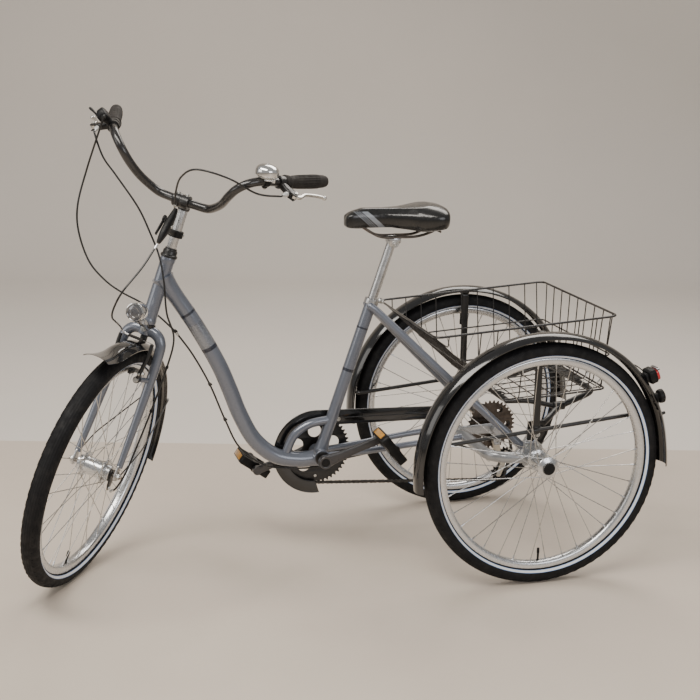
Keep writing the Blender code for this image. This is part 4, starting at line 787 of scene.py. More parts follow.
def make_wheel(name, place, body, node, hub, flange_r, flange_half, cap=None, spread=0.0030):
    rim = [(0.2868, -0.0118), (0.2868, -0.0132), (0.2855, -0.0138), (0.2740, -0.0128), (0.2700, -0.0100),
           (0.2682, -0.0050),
           (0.2680, 0.0), (0.2682, 0.0050), (0.2700, 0.0100), (0.2740, 0.0128), (0.2855, 0.0138),
           (0.2868, 0.0132),
           (0.2868, 0.0118), (0.2800, 0.0090), (0.2790, 0.0), (0.2800, -0.0090)]
    pieces = [loft(name, ring_place(place, rim, 128), RIM_ALLOY, closed=True, smooth=50)]
    pieces.append(lathe("hub", hub, place, RIM_ALLOY, 44, smooth=28))
    spokes, nipples = [], []
    for index in range(36):
        side = 1 if index % 2 else -1
        swing = 1 if index // 2 % 2 else -1
        rim_angle = 2 * math.pi * (index + 0.5) / 36
        hub_angle = rim_angle + swing * math.radians(60)
        start = Vector((flange_r * math.cos(hub_angle), flange_r * math.sin(hub_angle),
                        side * flange_half + swing * 0.0019))
        end = Vector((0.2705 * math.cos(rim_angle), 0.2705 * math.sin(rim_angle), side * spread))
        way = (end - start).normalized()
        spokes.append(([place @ start, place @ (start + way * 0.02), place @ end], 0.0011))
        spokes.append(([place @ (start + Vector((0, 0, swing * 0.0012))),
                        place @ (start - Vector((0, 0, swing * 0.0052)))],
                       0.0019))
        nipples.append(([place @ (end - way * 0.013), place @ (end - way * 0.0125), place @ end], 0.0021))
    pieces.append(wires("spokes", spokes, SPOKE_STEEL, 6))
    pieces.append(wires("nipples", nipples, ALLOY, 6))
    valve_way = place.to_3x3() @ Vector((-1, 0, 0))
    root = place @ Vector((0.2690, 0, 0))
    valve = [(0, -0.004), (0.0042, -0.004), (0.0042, 0.002), (0.0030, 0.004), (0.0030, 0.020),
             (0.0038, 0.021),
             (0.0038, 0.033), (0.0030, 0.035), (0, 0.035)]
    pieces.append(lathe("valve", valve, on(root, valve_way), PLASTIC_BLACK, 14))
    if cap:
        pieces.append(lathe("hub_cap", cap, place, PLASTIC_BLACK, 36))
    show(join(name, pieces), body, node, slot="alloy")


REAR_HUB = [(0.0083, -0.050), (0.0155, -0.050), (0.0165, -0.0485), (0.0172, -0.0400), (0.0262, -0.0358),
            (0.0285, -0.0350),
            (0.0290, -0.0342), (0.0290, -0.0318), (0.0282, -0.0308), (0.0215, -0.0285), (0.0185, -0.0230),
            (0.0180, -0.0100),
            (0.0180, 0.0100), (0.0185, 0.0230), (0.0215, 0.0285), (0.0282, 0.0308), (0.0290, 0.0318),
            (0.0290, 0.0342),
            (0.0285, 0.0350), (0.0262, 0.0358), (0.0172, 0.0400), (0.0165, 0.0440), (0.0083, 0.0440)]
FRONT_HUB = [(0.0052, -0.046), (0.0190, -0.046), (0.0205, -0.0445), (0.0215, -0.0330), (0.0320, -0.0308),
             (0.0330, -0.0300),
             (0.0330, -0.0280), (0.0320, -0.0270), (0.0240, -0.0240), (0.0230, -0.0150), (0.0230, 0.0150),
             (0.0240, 0.0240),
             (0.0320, 0.0270), (0.0330, 0.0280), (0.0330, 0.0300), (0.0320, 0.0308), (0.0215, 0.0330),
             (0.0205, 0.0445),
             (0.0190, 0.046), (0.0052, 0.046)]
HUB_CAP = [(0, 0.0472), (0.0085, 0.0470), (0.0145, 0.0458), (0.0166, 0.0436), (0.0172, 0.0405),
           (0.0165, 0.0395), (0, 0.0395)]
FRONT_HOLD = STEER @ Matrix.Translation((0, -0.051, 0)) @ Matrix(((0, 0, 1, 0), (0, 1, 0, 0), (-1, 0, 0, 0),
                                                                  (0, 0, 0, 1)))


def make_wheels():
    for side, word in ((1, "left"), (-1, "right")):
        at = world((side * HALF_TRACK, 0, AXLE_Z))
        place = Matrix(((0, 0, side, at.x), (0, 1, 0, at.y), (-side, 0, 0, at.z), (0, 0, 0, 1)))
        make_tyre("rear_tyre_" + word, place, "rear_wheel_" + word, "tyre_rear_" + word)
        make_wheel("rear_spoked_" + word, place, "rear_wheel_" + word, "wheel_rear_" + word, REAR_HUB, 0.0255,
                   0.0330, HUB_CAP)
    make_tyre("front_tyre", FRONT_HOLD, "front_wheel", "tyre_front")
    make_wheel("front_spoked", FRONT_HOLD, "front_wheel", "wheel_front", FRONT_HUB, 0.0295, 0.0290)
    axle = [(0, 0), (0.0075, 0), (0.0080, 0.0006), (0.0080, 0.3640), (0.0070, 0.3650), (0, 0.3650)]
    shaft = lathe("drive_shaft", axle, on(world((0.0065, 0, AXLE_Z)), (-1, 0, 0)), STEEL, 28)
    show(shaft, "rear_wheel_right", "drive_axle", slot="steel")


make_wheels()


# ---- drive -------------------------------------------------------------------------------------
CHAIN_X = -0.0500
RING_R = 0.0127 / (2 * math.sin(math.pi / 48))
COG_R = 0.0127 / (2 * math.sin(math.pi / 28))
GUIDE, TENSION, PULLEY_R = (0.047, 0.232), (0.030, 0.178), 0.0215
CRANK_GREY = material("crank_grey", (0.060, 0.058, 0.060), 0.34, 0.55, 0.3, 0.15, 20.0, 1800, 0.00006)
MECH_ALLOY = material("derailleur_alloy", (0.56, 0.53, 0.47), 0.34, 0.9, 0.0, 0.12, 30.0, 1500, 0.00005,
                      dust=0.05)


def bend(points, radius, steps=6):
    """A route of straight runs with rounded corners."""
    points = [Vector(p) for p in points]
    out = [points[0]]
    for a, b, c in zip(points, points[1:], points[2:]):
        p = b + (a - b).normalized() * min(radius, (a - b).length * 0.48)
        q = b + (c - b).normalized() * min(radius, (c - b).length * 0.48)
        for step in range(steps + 1):
            t = step / steps
            out.append(p * (1 - t) ** 2 + b * 2 * t * (1 - t) + q * t * t)
    out.append(points[-1])
    return out


def bend_loop(points, radius):
    """The same for a closed route; it overlaps itself a little where it meets."""
    points = [Vector(p) for p in points]
    middle = (points[0] + points[1]) / 2
    past = middle + (points[1] - points[0]).normalized() * 0.003
    return bend([middle, *points[1:], points[0], past], radius)


def tapered(name, path, widths, heights, up, finish, power=0.5, sides=20, smooth=45.0):
    """A bar whose rounded-rectangle section changes along a path; widths run along up."""
    rings = []
    for (point, side, other), w, h in zip(axes_along(path, up), widths, heights):
        ring = []
        for k in range(sides):
            c, s = math.cos(2 * math.pi * k / sides), math.sin(2 * math.pi * k / sides)
            ring.append(point + side * (w * math.copysign(abs(c) ** power, c))
                        + other * (h * math.copysign(abs(s) ** power, s)))
        rings.append(ring)
    return loft(name, rings, finish, smooth=smooth)


def blob(name, start, end, half_w, half_h, up, finish, power=0.5, edge=0.0015):
    """A short rounded block between two points."""
    start, end = Vector(start), Vector(end)
    length = (end - start).length
    shares = [0.0, edge / length, 1 - edge / length, 1.0]
    path = [start.lerp(end, s) for s in shares]
    scale = [1 - edge / max(half_w, half_h), 1, 1, 1 - edge / max(half_w, half_h)]
    return tapered(name, path, [half_w * k for k in scale], [half_h * k for k in scale], up, finish, power,
                   24)


def gear(teeth, radius, root=0.0040, tip=0.0028):
    """The outline of a toothed ring."""
    out = []
    for k in range(teeth):
        for share, r in ((-0.36, -root), (-0.24, -root * 0.3), (-0.10, tip), (0.10, tip), (0.24, -root * 0.3),
                         (0.36, -root)):
            a = 2 * math.pi * (k + share) / teeth
            out.append(((radius + r) * math.cos(a), (radius + r) * math.sin(a)))
    return out


def tangents(a, ra, b, rb, side):
    """Where a straight run leaves one circle and meets another, in the (y, z) plane."""
    delta = Vector((b[0] - a[0], b[1] - a[1]))
    angle = math.atan2(delta.y, delta.x) + side * math.acos((ra - rb) / delta.length)
    way = Vector((math.cos(angle), math.sin(angle)))
    return Vector(a) + way * ra, Vector(b) + way * rb, angle


def arc(centre, radius, start, end, turn):
    swing = (end - start) % (2 * math.pi) if turn > 0 else -((start - end) % (2 * math.pi))
    count = max(3, int(abs(swing) / 0.05))
    return [Vector(centre) + Vector((math.cos(start + swing * i / count),
                                     math.sin(start + swing * i / count))) * radius
            for i in range(count + 1)]


def make_chain():
    ring, cog = (BB[1], BB[2]), (0.0, AXLE_Z)
    a0, b0, up = tangents(ring, RING_R, cog, COG_R, 1)
    c0, d0, down = tangents(ring, RING_R, TENSION, PULLEY_R, -1)
    loop = [a0, b0] + arc(cog, COG_R, up, math.radians(-12), -1)
    loop += [Vector((GUIDE[0] + 0.0212, GUIDE[1] + 0.010)), Vector((GUIDE[0] + 0.0200, GUIDE[1] - 0.012))]
    loop += arc(TENSION, PULLEY_R, 0.2, down, -1) + [d0, c0] + arc(ring, RING_R, down, up, -1)
    lengths = [0.0]
    loop.append(loop[0])
    for a, b in zip(loop, loop[1:]):
        lengths.append(lengths[-1] + (b - a).length)
    count = 2 * round(lengths[-1] / 0.0127 / 2)
    spots, k = [], 0
    for index in range(count):
        target = lengths[-1] * index / count
        while lengths[k + 1] < target:
            k += 1
        spots.append(loop[k].lerp(loop[k + 1], (target - lengths[k]) / max(lengths[k + 1] - lengths[k],
            1e-9)))
    plates, rollers = [], []
    for index in range(count):
        a, b = spots[index], spots[(index + 1) % count]
        way = (b - a).normalized()
        across = Vector((-way.y, way.x))
        outline = []
        for centre, sign in ((b, 1), (a, -1)):
            for angle in (-75, -38, 0, 38, 75):
                t = math.radians(angle)
                reach = sign * 0.0040
                outline.append(centre + way * (reach * math.cos(t)) + across * (reach * math.sin(t)))
            outline.append((a + b) / 2 + across * (sign * 0.0029))
        for side in (1, -1):
            near, far = (0.0022, 0.0032) if index % 2 else (0.0034, 0.0044)
            rings = [[world((CHAIN_X + side * x, p.x, p.y)) for p in outline] for x in (near, far)]
            plates.append(rings)
        for radius, half in ((0.0039, 0.0020), (0.0018, 0.0050)):
            rollers.append([[world((CHAIN_X + x, a.x + radius * math.cos(t), a.y + radius * math.sin(t)))
                             for t in (2 * math.pi * n / 8 for n in range(8))] for x in (-half, half)])
    chain = join("chain_links", [lofts("plates", plates, CHAIN_STEEL, smooth=40),
                                 lofts("rollers", rollers, CHAIN_STEEL, smooth=40)])
    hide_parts("chain")
    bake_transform(chain)


def make_cogs():
    pieces = []
    for x, teeth in ((-0.0655, 14), (-0.0620, 16), (-0.0585, 18), (-0.0545, 22), (-0.0500, 28),
                     (-0.0445, 34)):
        radius = 0.0127 / (2 * math.sin(math.pi / teeth))
        holes = [circle(radius * 0.13, 10, (radius * 0.72 * math.cos(a), radius * 0.72 * math.sin(a)))
                 for a in (2 * math.pi * k / 6 for k in range(6))] if teeth > 20 else []
        pieces.append(prism("cog", gear(teeth, radius), 0.0019, side_frame(x, 0, AXLE_Z), DARK_STEEL, holes,
                            0.0003))
    body = [(0.0086, -0.0680), (0.0190, -0.0680), (0.0215, -0.0660), (0.0230, -0.0560), (0.0260, -0.0500),
            (0.0280, -0.0400),
            (0.0200, -0.0380), (0.0200, -0.0330), (0.0086, -0.0330)]
    pieces.append(lathe("cog_body", body, on(world((0, 0, AXLE_Z)), (1, 0, 0)), DARK_STEEL, 36))
    show(join("cog_stack", pieces), "freewheel", "freewheel", slot="steel")


def make_cranks():
    angle = math.radians(19.0)
    way = Vector((0, math.cos(angle), math.sin(angle)))
    centre = world(BB)
    pieces = [rod("spindle", centre + Vector((-0.060, 0, 0)), centre + Vector((0.060, 0, 0)), 0.0085, STEEL,
                  24)]
    for side in (1, -1):
        hub = centre + Vector((side * 0.066, 0, 0))
        tip = hub + way * (side * 0.168)
        shares = (0.0, 0.06, 0.25, 0.6, 0.92, 1.0)
        pieces.append(tapered("crank_arm", [hub.lerp(tip, s) for s in shares],
                              [0.0080, 0.0078, 0.0068, 0.0062, 0.0066, 0.0066],
                              [0.0165, 0.0170, 0.0128, 0.0105, 0.0112, 0.0110], (1, 0, 0), CRANK_GREY, 0.55,
                              24))
        boss = rounded([(0, -0.0092), (0.0178, -0.0092), (0.0178, 0.0092), (0.0120, 0.0092), (0.0115, 0.0070),
                        (0, 0.0070)], 0.0012)
        pieces.append(lathe("crank_boss", boss, on(hub, (side, 0, 0)), CRANK_GREY, 40))
        pieces.append(lathe("dust_cap", rounded([(0, 0.0060), (0.0112, 0.0060), (0.0112, 0.0086),
                                                 (0.0050, 0.0095), (0, 0.0095)], 0.0005),
                            on(hub, (side, 0, 0)), PLASTIC_BLACK, 28))
        end = rounded([(0, -0.0068), (0.0128, -0.0068), (0.0128, 0.0068), (0, 0.0068)], 0.0012)
        pieces.append(lathe("pedal_eye", end, on(tip, (side, 0, 0)), CRANK_GREY, 32))
    show(join("crank_arms", pieces), "crank", "crank_set", slot="satin_black")

    holes = [circle(0.0130, 24)]
    for arm in range(5):
        a = angle + math.pi + 2 * math.pi * (arm + 0.5) / 5
        holes.append(circle(0.0185, 24, (0.0535 * math.cos(a), 0.0535 * math.sin(a))))
    disc = [prism("ring_teeth", gear(48, RING_R), 0.0028, side_frame(CHAIN_X, BB[1], BB[2]), SATIN_BLACK,
                  holes, 0.0004)]
    for arm in range(5):
        a = angle + math.pi + 2 * math.pi * arm / 5
        spot = world((CHAIN_X - 0.0014, BB[1] + 0.0770 * math.cos(a), BB[2] + 0.0770 * math.sin(a)))
        disc.append(bolt("ring_bolt", spot, (-1, 0, 0), 0.0042, 0.0018, ZINC_BOLT, 18, False))
        disc.append(bolt("ring_bolt_in", spot + Vector((0.0028, 0, 0)), (1, 0, 0), 0.0042, 0.0018, ZINC_BOLT,
                         18, False))
        disc.append(tapered("spider", [world((CHAIN_X - 0.0045, BB[1] + r * math.cos(a),
                                              BB[2] + r * math.sin(a)))
                                       for r in (0.010, 0.040, 0.082)], [0.0030, 0.0028, 0.0022],
                            [0.0090, 0.0068, 0.0060],
                            (1, 0, 0), CRANK_GREY, 0.6, 16))
    show(join("ring_gear", disc), "crank", "chainring", slot="satin_black")

    for side, word, tilt in ((1, "left", -52.0), (-1, "right", -35.0)):
        axis = centre + way * (side * 0.168) + Vector((side * 0.135, 0, 0))
        tread = Matrix.Translation(axis) @ Matrix.Rotation(math.radians(tilt), 4, "X")
        lying = tread @ Matrix(((0, 1, 0, 0), (1, 0, 0, 0), (0, 0, 1, 0), (0, 0, 0, 1)))
        outline = soften([(-0.042, -0.047), (0.042, -0.047), (0.047, -0.040), (0.047, 0.040), (0.042, 0.047),
                          (-0.042, 0.047),
                          (-0.047, 0.040), (-0.047, -0.040)], 0.005)
        windows = [soften([(y * s, x) for x, y in ((-0.036, 0.015), (0.036, 0.015), (0.036, 0.034),
                                                   (-0.036, 0.034))][::s], 0.004)
                   for s in (1, -1)]
        pieces = [prism("pedal_cage", outline, 0.0240, lying, PLASTIC_BLACK, windows, 0.0020)]
        pieces.append(lathe("pedal_barrel", [(0.0062, -0.046), (0.0150, -0.046), (0.0140, -0.034),
                                             (0.0130, 0.0), (0.0140, 0.034),
                                             (0.0150, 0.046), (0.0062, 0.046)],
                            tread @ Matrix.Rotation(math.radians(90), 4, "Y"),
                            PLASTIC_BLACK, 28))
        end = Matrix.Translation(axis) @ Vector((-side * 0.0725, 0, 0))
        pieces.append(rod("pedal_spindle", end, axis, 0.0062, STEEL, 20))
        pieces.append(bolt("pedal_flats", axis - Vector((side * 0.0560, 0, 0)), (-side, 0, 0), 0.0085, 0.006,
                           STEEL, 6, False))
        for s in (1, -1):
            lens = tread @ Matrix.Translation((0, s * 0.0478, 0)) @ Matrix.Rotation(math.radians(90), 4, "X")
            panel = soften([(-0.031, -0.0082), (0.031, -0.0082), (0.031, 0.0082), (-0.031, 0.0082)], 0.0025)
            pieces.append(prism("pedal_lens", panel, 0.0022, lens, AMBER, (), 0.0006))
            for k in range(7):
                for rise in (0.0118, -0.0118):
                    spot = tread @ Vector((-0.036 + 0.012 * k, s * 0.0400, rise))
                    tall = tread.to_3x3() @ Vector((0, 0, 1 if rise > 0 else -1))
                    pieces.append(lathe("stud", [(0, -0.0010), (0.0026, -0.0010), (0.0016, 0.0016),
                                                 (0, 0.0016)], on(spot, tall),
                                        PLASTIC_BLACK, 8))
        show(join("pedal_body_" + word, pieces), "pedal_" + word, "pedal_" + word, slot="black_plastic")


def make_guard():
    outer = [(BB[1] + 0.1180 * math.cos(a), BB[2] - 0.004 + 0.1180 * math.sin(a)) for a in
             (math.radians(x) for x in range(90, 276, 5))]
    inner = [(BB[1] + 0.0850 * math.cos(a), BB[2] - 0.004 + 0.0850 * math.sin(a)) for a in
             (math.radians(x) for x in range(270, 88, -5))]
    outline = [(-0.1175, 0.3905), (-0.119, 0.3915)]
    outline = outline + outer + inner + [(-0.470, 0.3610), (-0.430, 0.3600), (-0.1205, 0.3570),
                                         (-0.1185, 0.3580)]
    pieces = [prism("guard_skin", outline, 0.0018, side_frame(CHAIN_X + 0.0120, 0, 0), GLOSS_BLACK, (),
                    0.0006)]
    edge = [world((CHAIN_X + 0.0118, y, z)) for y, z in [(-0.118, 0.3915)] + outer]
    pieces.append(sweep("guard_lip", edge, 0.0018, GLOSS_BLACK, 10))
    crease = bend([world((CHAIN_X + 0.0131, -0.125, 0.3745)), world((CHAIN_X + 0.0131, -0.440, 0.3800))],
                  0.01)
    pieces.append(sweep("guard_crease", crease, 0.0014, GLOSS_BLACK, 10))
    for y, z in ((-0.150, 0.3640), (-0.4560, 0.3760), (-0.6280, 0.2850)):
        pieces.append(bolt("guard_bolt", world((CHAIN_X + 0.0128, y, z)), (1, 0, 0), 0.0045, 0.0035))
    show(join("guard_skin", pieces), "frame", "chain_guard", slot="gloss_black")


def make_derailleur():
    pieces = []
    for x in (CHAIN_X + 0.0072, CHAIN_X - 0.0072):
        run = Vector((TENSION[0] - GUIDE[0], TENSION[1] - GUIDE[1]))
        across = Vector((-run.y, run.x)).normalized()
        a, b = Vector(GUIDE), Vector(TENSION)
        outline = soften([tuple(a - run * 0.22 + across * 0.008), tuple(a - run * 0.22 - across * 0.008),
                          tuple(a + run * 0.5 - across * 0.0065), tuple(b + run * 0.20 - across * 0.007),
                          tuple(b + run * 0.20 + across * 0.007), tuple(a + run * 0.5 + across * 0.0095)],
                         0.006)
        pieces.append(prism("cage_plate", outline, 0.0018, side_frame(x, 0, 0), MECH_ALLOY, (), 0.0004))
        for spot in (GUIDE, TENSION):
            pieces.append(bolt("cage_bolt", world((x + math.copysign(0.0009, x - CHAIN_X), *spot)),
                               (x - CHAIN_X, 0, 0), 0.0036,
                               0.0022, ZINC_BOLT, 18, False))
    for spot in (GUIDE, TENSION):
        pieces.append(prism("pulley", gear(11, PULLEY_R, 0.0045, 0.0015), 0.0042, side_frame(CHAIN_X, *spot),
                            PLASTIC_BLACK,
                            [circle(0.0030, 8, (0.0105 * math.cos(a), 0.0105 * math.sin(a))) for a in
                             (2 * math.pi * k / 5 for k in range(5))], 0.0006))
        pieces.append(rod("pulley_hub", world((CHAIN_X - 0.0066, *spot)), world((CHAIN_X + 0.0066, *spot)),
                          0.0052, STEEL, 18))
    pivot = world((-0.0180, 0.005, AXLE_Z - 0.042))
    lower = world((-0.0300, 0.0150, 0.2400))
    pieces.append(rod("upper_knuckle", pivot + Vector((0.0060, 0, 0)), pivot - Vector((0.0080, 0, 0)), 0.0115,
                      MECH_ALLOY, 28, 0.0015))
    pieces.append(bolt("hanger_bolt", pivot + Vector((0.0060, 0, 0)), (1, 0, 0), 0.0062, 0.004))
    path = [pivot - Vector((0.004, 0, 0)), pivot.lerp(lower, 0.5) + Vector((-0.004, 0.003, 0)), lower]
    pieces.append(tapered("link_body", path, [0.0060, 0.0070, 0.0075], [0.0095, 0.0105, 0.0115], (1, 0, 0),
                          MECH_ALLOY, 0.6, 20))
    pieces.append(rod("lower_knuckle", lower + Vector((0.0075, 0, 0)), lower - Vector((0.0120, 0, 0)), 0.0135,
                      MECH_ALLOY, 28, 0.0018))
    show(join("mech_body", pieces), "derailleur", "derailleur", slot="alloy")


make_chain()
make_cogs()
make_cranks()
make_guard()
make_derailleur()


# ---- fenders -----------------------------------------------------------------------------------
def fender_skin(name, place, radius, start, end, flare, finish, crown=0.0125, steps=110):
    """A crowned strip with rolled edges, bent round local X; place puts its middle on the wheel's centre."""
    rings = []
    for index in range(steps + 1):
        share = index / steps
        rise, wide = flare(share)
        angle = start + (end - start) * share
        ring = []
        spread = [k / 9 - 1 for k in range(19)]
        for a in spread:
            ring.append((a * 0.031 * wide, radius + rise - crown * abs(a) ** 2.6))
        for a in (1.0, 0.93):
            ring.append((a * 0.0302 * wide, radius + rise - crown - (0.0022 if a == 1.0 else 0.0004)))
        for a in reversed(spread[1:-1]):
            ring.append((a * 0.0296 * wide, radius + rise - 0.0017 - crown * abs(a) ** 2.6))
        for a in (-0.93, -1.0):
            ring.append((a * 0.0302 * wide, radius + rise - crown - (0.0022 if a == -1.0 else 0.0004)))
        rings.append([place @ Vector((x, r * math.cos(angle), r * math.sin(angle))) for x, r in ring])
    return loft(name, rings, finish, smooth=50)


def make_rear_fenders():
    def flare(share):
        rise = max(0.0, 1 - share / 0.07)
        return 0.005 * rise ** 2, 1.0

    for side, word in ((1, "left"), (-1, "right")):
        centre = world((side * HALF_TRACK, 0, AXLE_Z))
        skin = fender_skin("rear_guard_" + word, Matrix.Translation(centre), 0.3530, math.radians(-4),
                           math.radians(188), flare,
                           GLOSS_BLACK)
        pieces = [skin]
        for y, z in ((0.352, 0.446),) if side > 0 else ():
            way = Vector((0, y, z - AXLE_Z)).normalized()
            pieces.append(bolt("guard_peg", centre + way * 0.3535, way, 0.0045, 0.0120, SATIN_BLACK, 16))
        show(join("rear_guard_" + word, pieces), "frame", "fender_" + word, slot="gloss_black")
        x = side * 0.2790
        front, rear = (-0.3290, 0.3760), (0.3165, 0.4368)
        stay = [sweep("stay_rail", bend(rel([(side * 0.2875, *front), (x, *front), (x, 0.0, 0.4075),
                                             (x, *rear), (side * 0.2875, *rear)]),
                                        0.006), 0.0055, SATIN_BLACK, 16)]
        stay.append(bar("stay_bar", world((side * 0.2745, -0.004, 0.3960)),
                        world((side * 0.2745, -0.004, 0.6580)), 0.0040, 0.020,
                        SATIN_BLACK))
        stay.append(tapered("stay_top", bend(rel([(side * 0.2745, -0.004, 0.6400),
                                                  (side * 0.2745, -0.004, 0.6620),
                                                  (side * 0.3010, -0.004, 0.6635)]), 0.006), [0.0020] * 9,
                            [0.0100] * 9,
                            (1, 0, 0), SATIN_BLACK, 0.3, 16))
        stay.append(blob("stay_clamp", world((side * 0.2700, -0.014, 0.4080)),
                         world((side * 0.2700, 0.008, 0.4080)), 0.0085, 0.0100,
                         (1, 0, 0), SATIN_BLACK, 0.4))
        stay.append(bolt("stay_bolt", world((side * 0.2765, -0.004, 0.6450)), (side, 0, 0), 0.0042, 0.0030))
        stay.append(bolt("stay_bolt_top", world((side * 0.2930, -0.004, 0.6655)), (0, 0, 1), 0.0046, 0.0045,
                         SATIN_BLACK))
        stay.append(blob("stay_grip", world((side * 0.2790, -0.012, 0.6690)),
                         world((side * 0.2790, 0.006, 0.6690)), 0.0110, 0.0060,
                         (1, 0, 0), SATIN_BLACK, 0.5))
        for y, z in (front, rear):
            stay.append(bolt("stay_pin", world((side * 0.2865, y, z)), (side, 0, 0), 0.0048, 0.0040,
                             SATIN_BLACK))
        show(join("guard_stay_" + word, stay), "frame", "fender_stay_" + word, slot="satin_black")

    x = HALF_TRACK
    way = Vector((0, 0.93, 0.36)).normalized()
    base = world((x, 0.2860, 0.5450))
    lamp = [blob("lamp_box", base, base + way * 0.0210, 0.0235, 0.0195, (1, 0, 0), PLASTIC_BLACK, 0.42,
                 0.003)]
    lamp.append(blob("lamp_lens", base + way * 0.0205 - Vector((0, 0, 0.0020)),
                     base + way * 0.0290 - Vector((0, 0, 0.0020)), 0.0215,
                     0.0135, (1, 0, 0), RED_LENS, 0.45, 0.002))
    lamp.append(blob("lamp_strip", base + way * 0.0200 + Vector((0, 0, 0.0150)),
                     base + way * 0.0270 + Vector((0, 0, 0.0150)), 0.0200,
                     0.0026, (1, 0, 0), LENS_CLEAR, 0.45, 0.001))
    lamp.append(blob("lamp_foot", world((x, 0.2780, 0.5420)), base + way * 0.003, 0.0150, 0.0130, (1, 0, 0),
                     PLASTIC_BLACK, 0.5))
    aim = Vector((0, 0.985, 0.17)).normalized()
    middle = world((x, 0.3240, 0.4890))
    back = [(0, -0.004), (0.0120, -0.004), (0.0175, 0.0), (0.0190, 0.006), (0.0185, 0.0115), (0.0165, 0.0120),
            (0, 0.0120)]
    lamp.append(lathe("round_back", back, on(middle, aim), PLASTIC_BLACK, 36))
    lamp.append(lathe("round_lens", [(0, 0.0100), (0.0162, 0.0112), (0.0158, 0.0132), (0.0100, 0.0142),
                                     (0, 0.0145)],
                      on(middle, aim), SMOKED_LENS, 36))
    lamp.append(blob("round_foot", world((x, 0.3050, 0.4850)), middle, 0.0095, 0.0110, (1, 0, 0),
                     PLASTIC_BLACK, 0.6))
    cable = spline(rel([(x - 0.010, 0.283, 0.556), (x - 0.022, 0.262, 0.572), (x - 0.030, 0.240, 0.575)]), 14)
    lamp.append(sweep("lamp_cable", cable, 0.0016, CASING_BLACK, 8))
    show(join("tail_lamp", lamp), "frame", "rear_lamp", slot="black_plastic")


# ---- carrier and basket ------------------------------------------------------------------------
def make_basket():
    rim = [(0.244, -0.279, 0.661), (0.244, 0.229, 0.696)]
    floor = [(0.214, -0.070, 0.470), (0.214, 0.222, 0.488)]

    def lerp(a, b, t):
        return tuple(p + (q - p) * t for p, q in zip(a, b))

    def loop(share, drop=0.0):
        front, rear = lerp(floor[0], rim[0], share), lerp(floor[1], rim[1], share)
        return bend_loop(rel([(-front[0], front[1], front[2] + drop), (front[0], front[1], front[2] + drop),
                              (rear[0], rear[1], rear[2] + drop), (-rear[0], rear[1], rear[2] + drop)]),
                         0.022)

    heavy = [(loop(1.0), 0.0031), (loop(0.47), 0.0022), (loop(0.0, 0.001), 0.0026)]
    across = []
    for y in (-0.030, 0.020, 0.070, 0.120, 0.170, 0.208):
        t = (y + 0.070) / 0.292
        bottom = lerp(floor[0], floor[1], t)
        top_t = (y + 0.279) / 0.508
        top = lerp(rim[0], rim[1], top_t)
        x, z = bottom[0] - 0.0022, bottom[2] + 0.0020
        across.append((bend(rel([(-top[0] + 0.001, y, top[2] + 0.001), (-x, y, z), (x, y, z),
                                 (top[0] - 0.001, y, top[2] + 0.001)]),
                            0.014), 0.00165))
    for share in (0.20, 0.42, 0.64, 0.84):
        edge = lerp(floor[0], rim[0], share)
        top = lerp(rim[0], rim[1], (edge[1] + 0.279) / 0.508)
        y = edge[1] + 0.003
        across.append((bend(rel([(-top[0] + 0.001, y, top[2] + 0.001), (-edge[0] + 0.002, y, edge[2] + 0.002),
                                 (edge[0] - 0.002, y, edge[2] + 0.002), (top[0] - 0.001, y, top[2] + 0.001)]),
                            0.010), 0.00165))
    along = []
    for k in range(-4, 5):
        x = k * 0.047
        wide = x * 0.244 / 0.214
        points = [(wide, rim[0][1], rim[0][2] + 0.001), (x, floor[0][1] + 0.003, floor[0][2] - 0.0015),
                  (x, floor[1][1] - 0.003, floor[1][2] - 0.0015), (wide, rim[1][1], rim[1][2] + 0.001)]
        along.append((bend(rel(points), 0.016), 0.00165))
    pieces = [wires("basket_heavy", heavy, WIRE_BLACK, 12), wires("basket_across", across, WIRE_BLACK, 8),
              wires("basket_along", along, WIRE_BLACK, 8)]
    show(join("wire_basket", pieces), "frame", "basket", slot="satin_black")


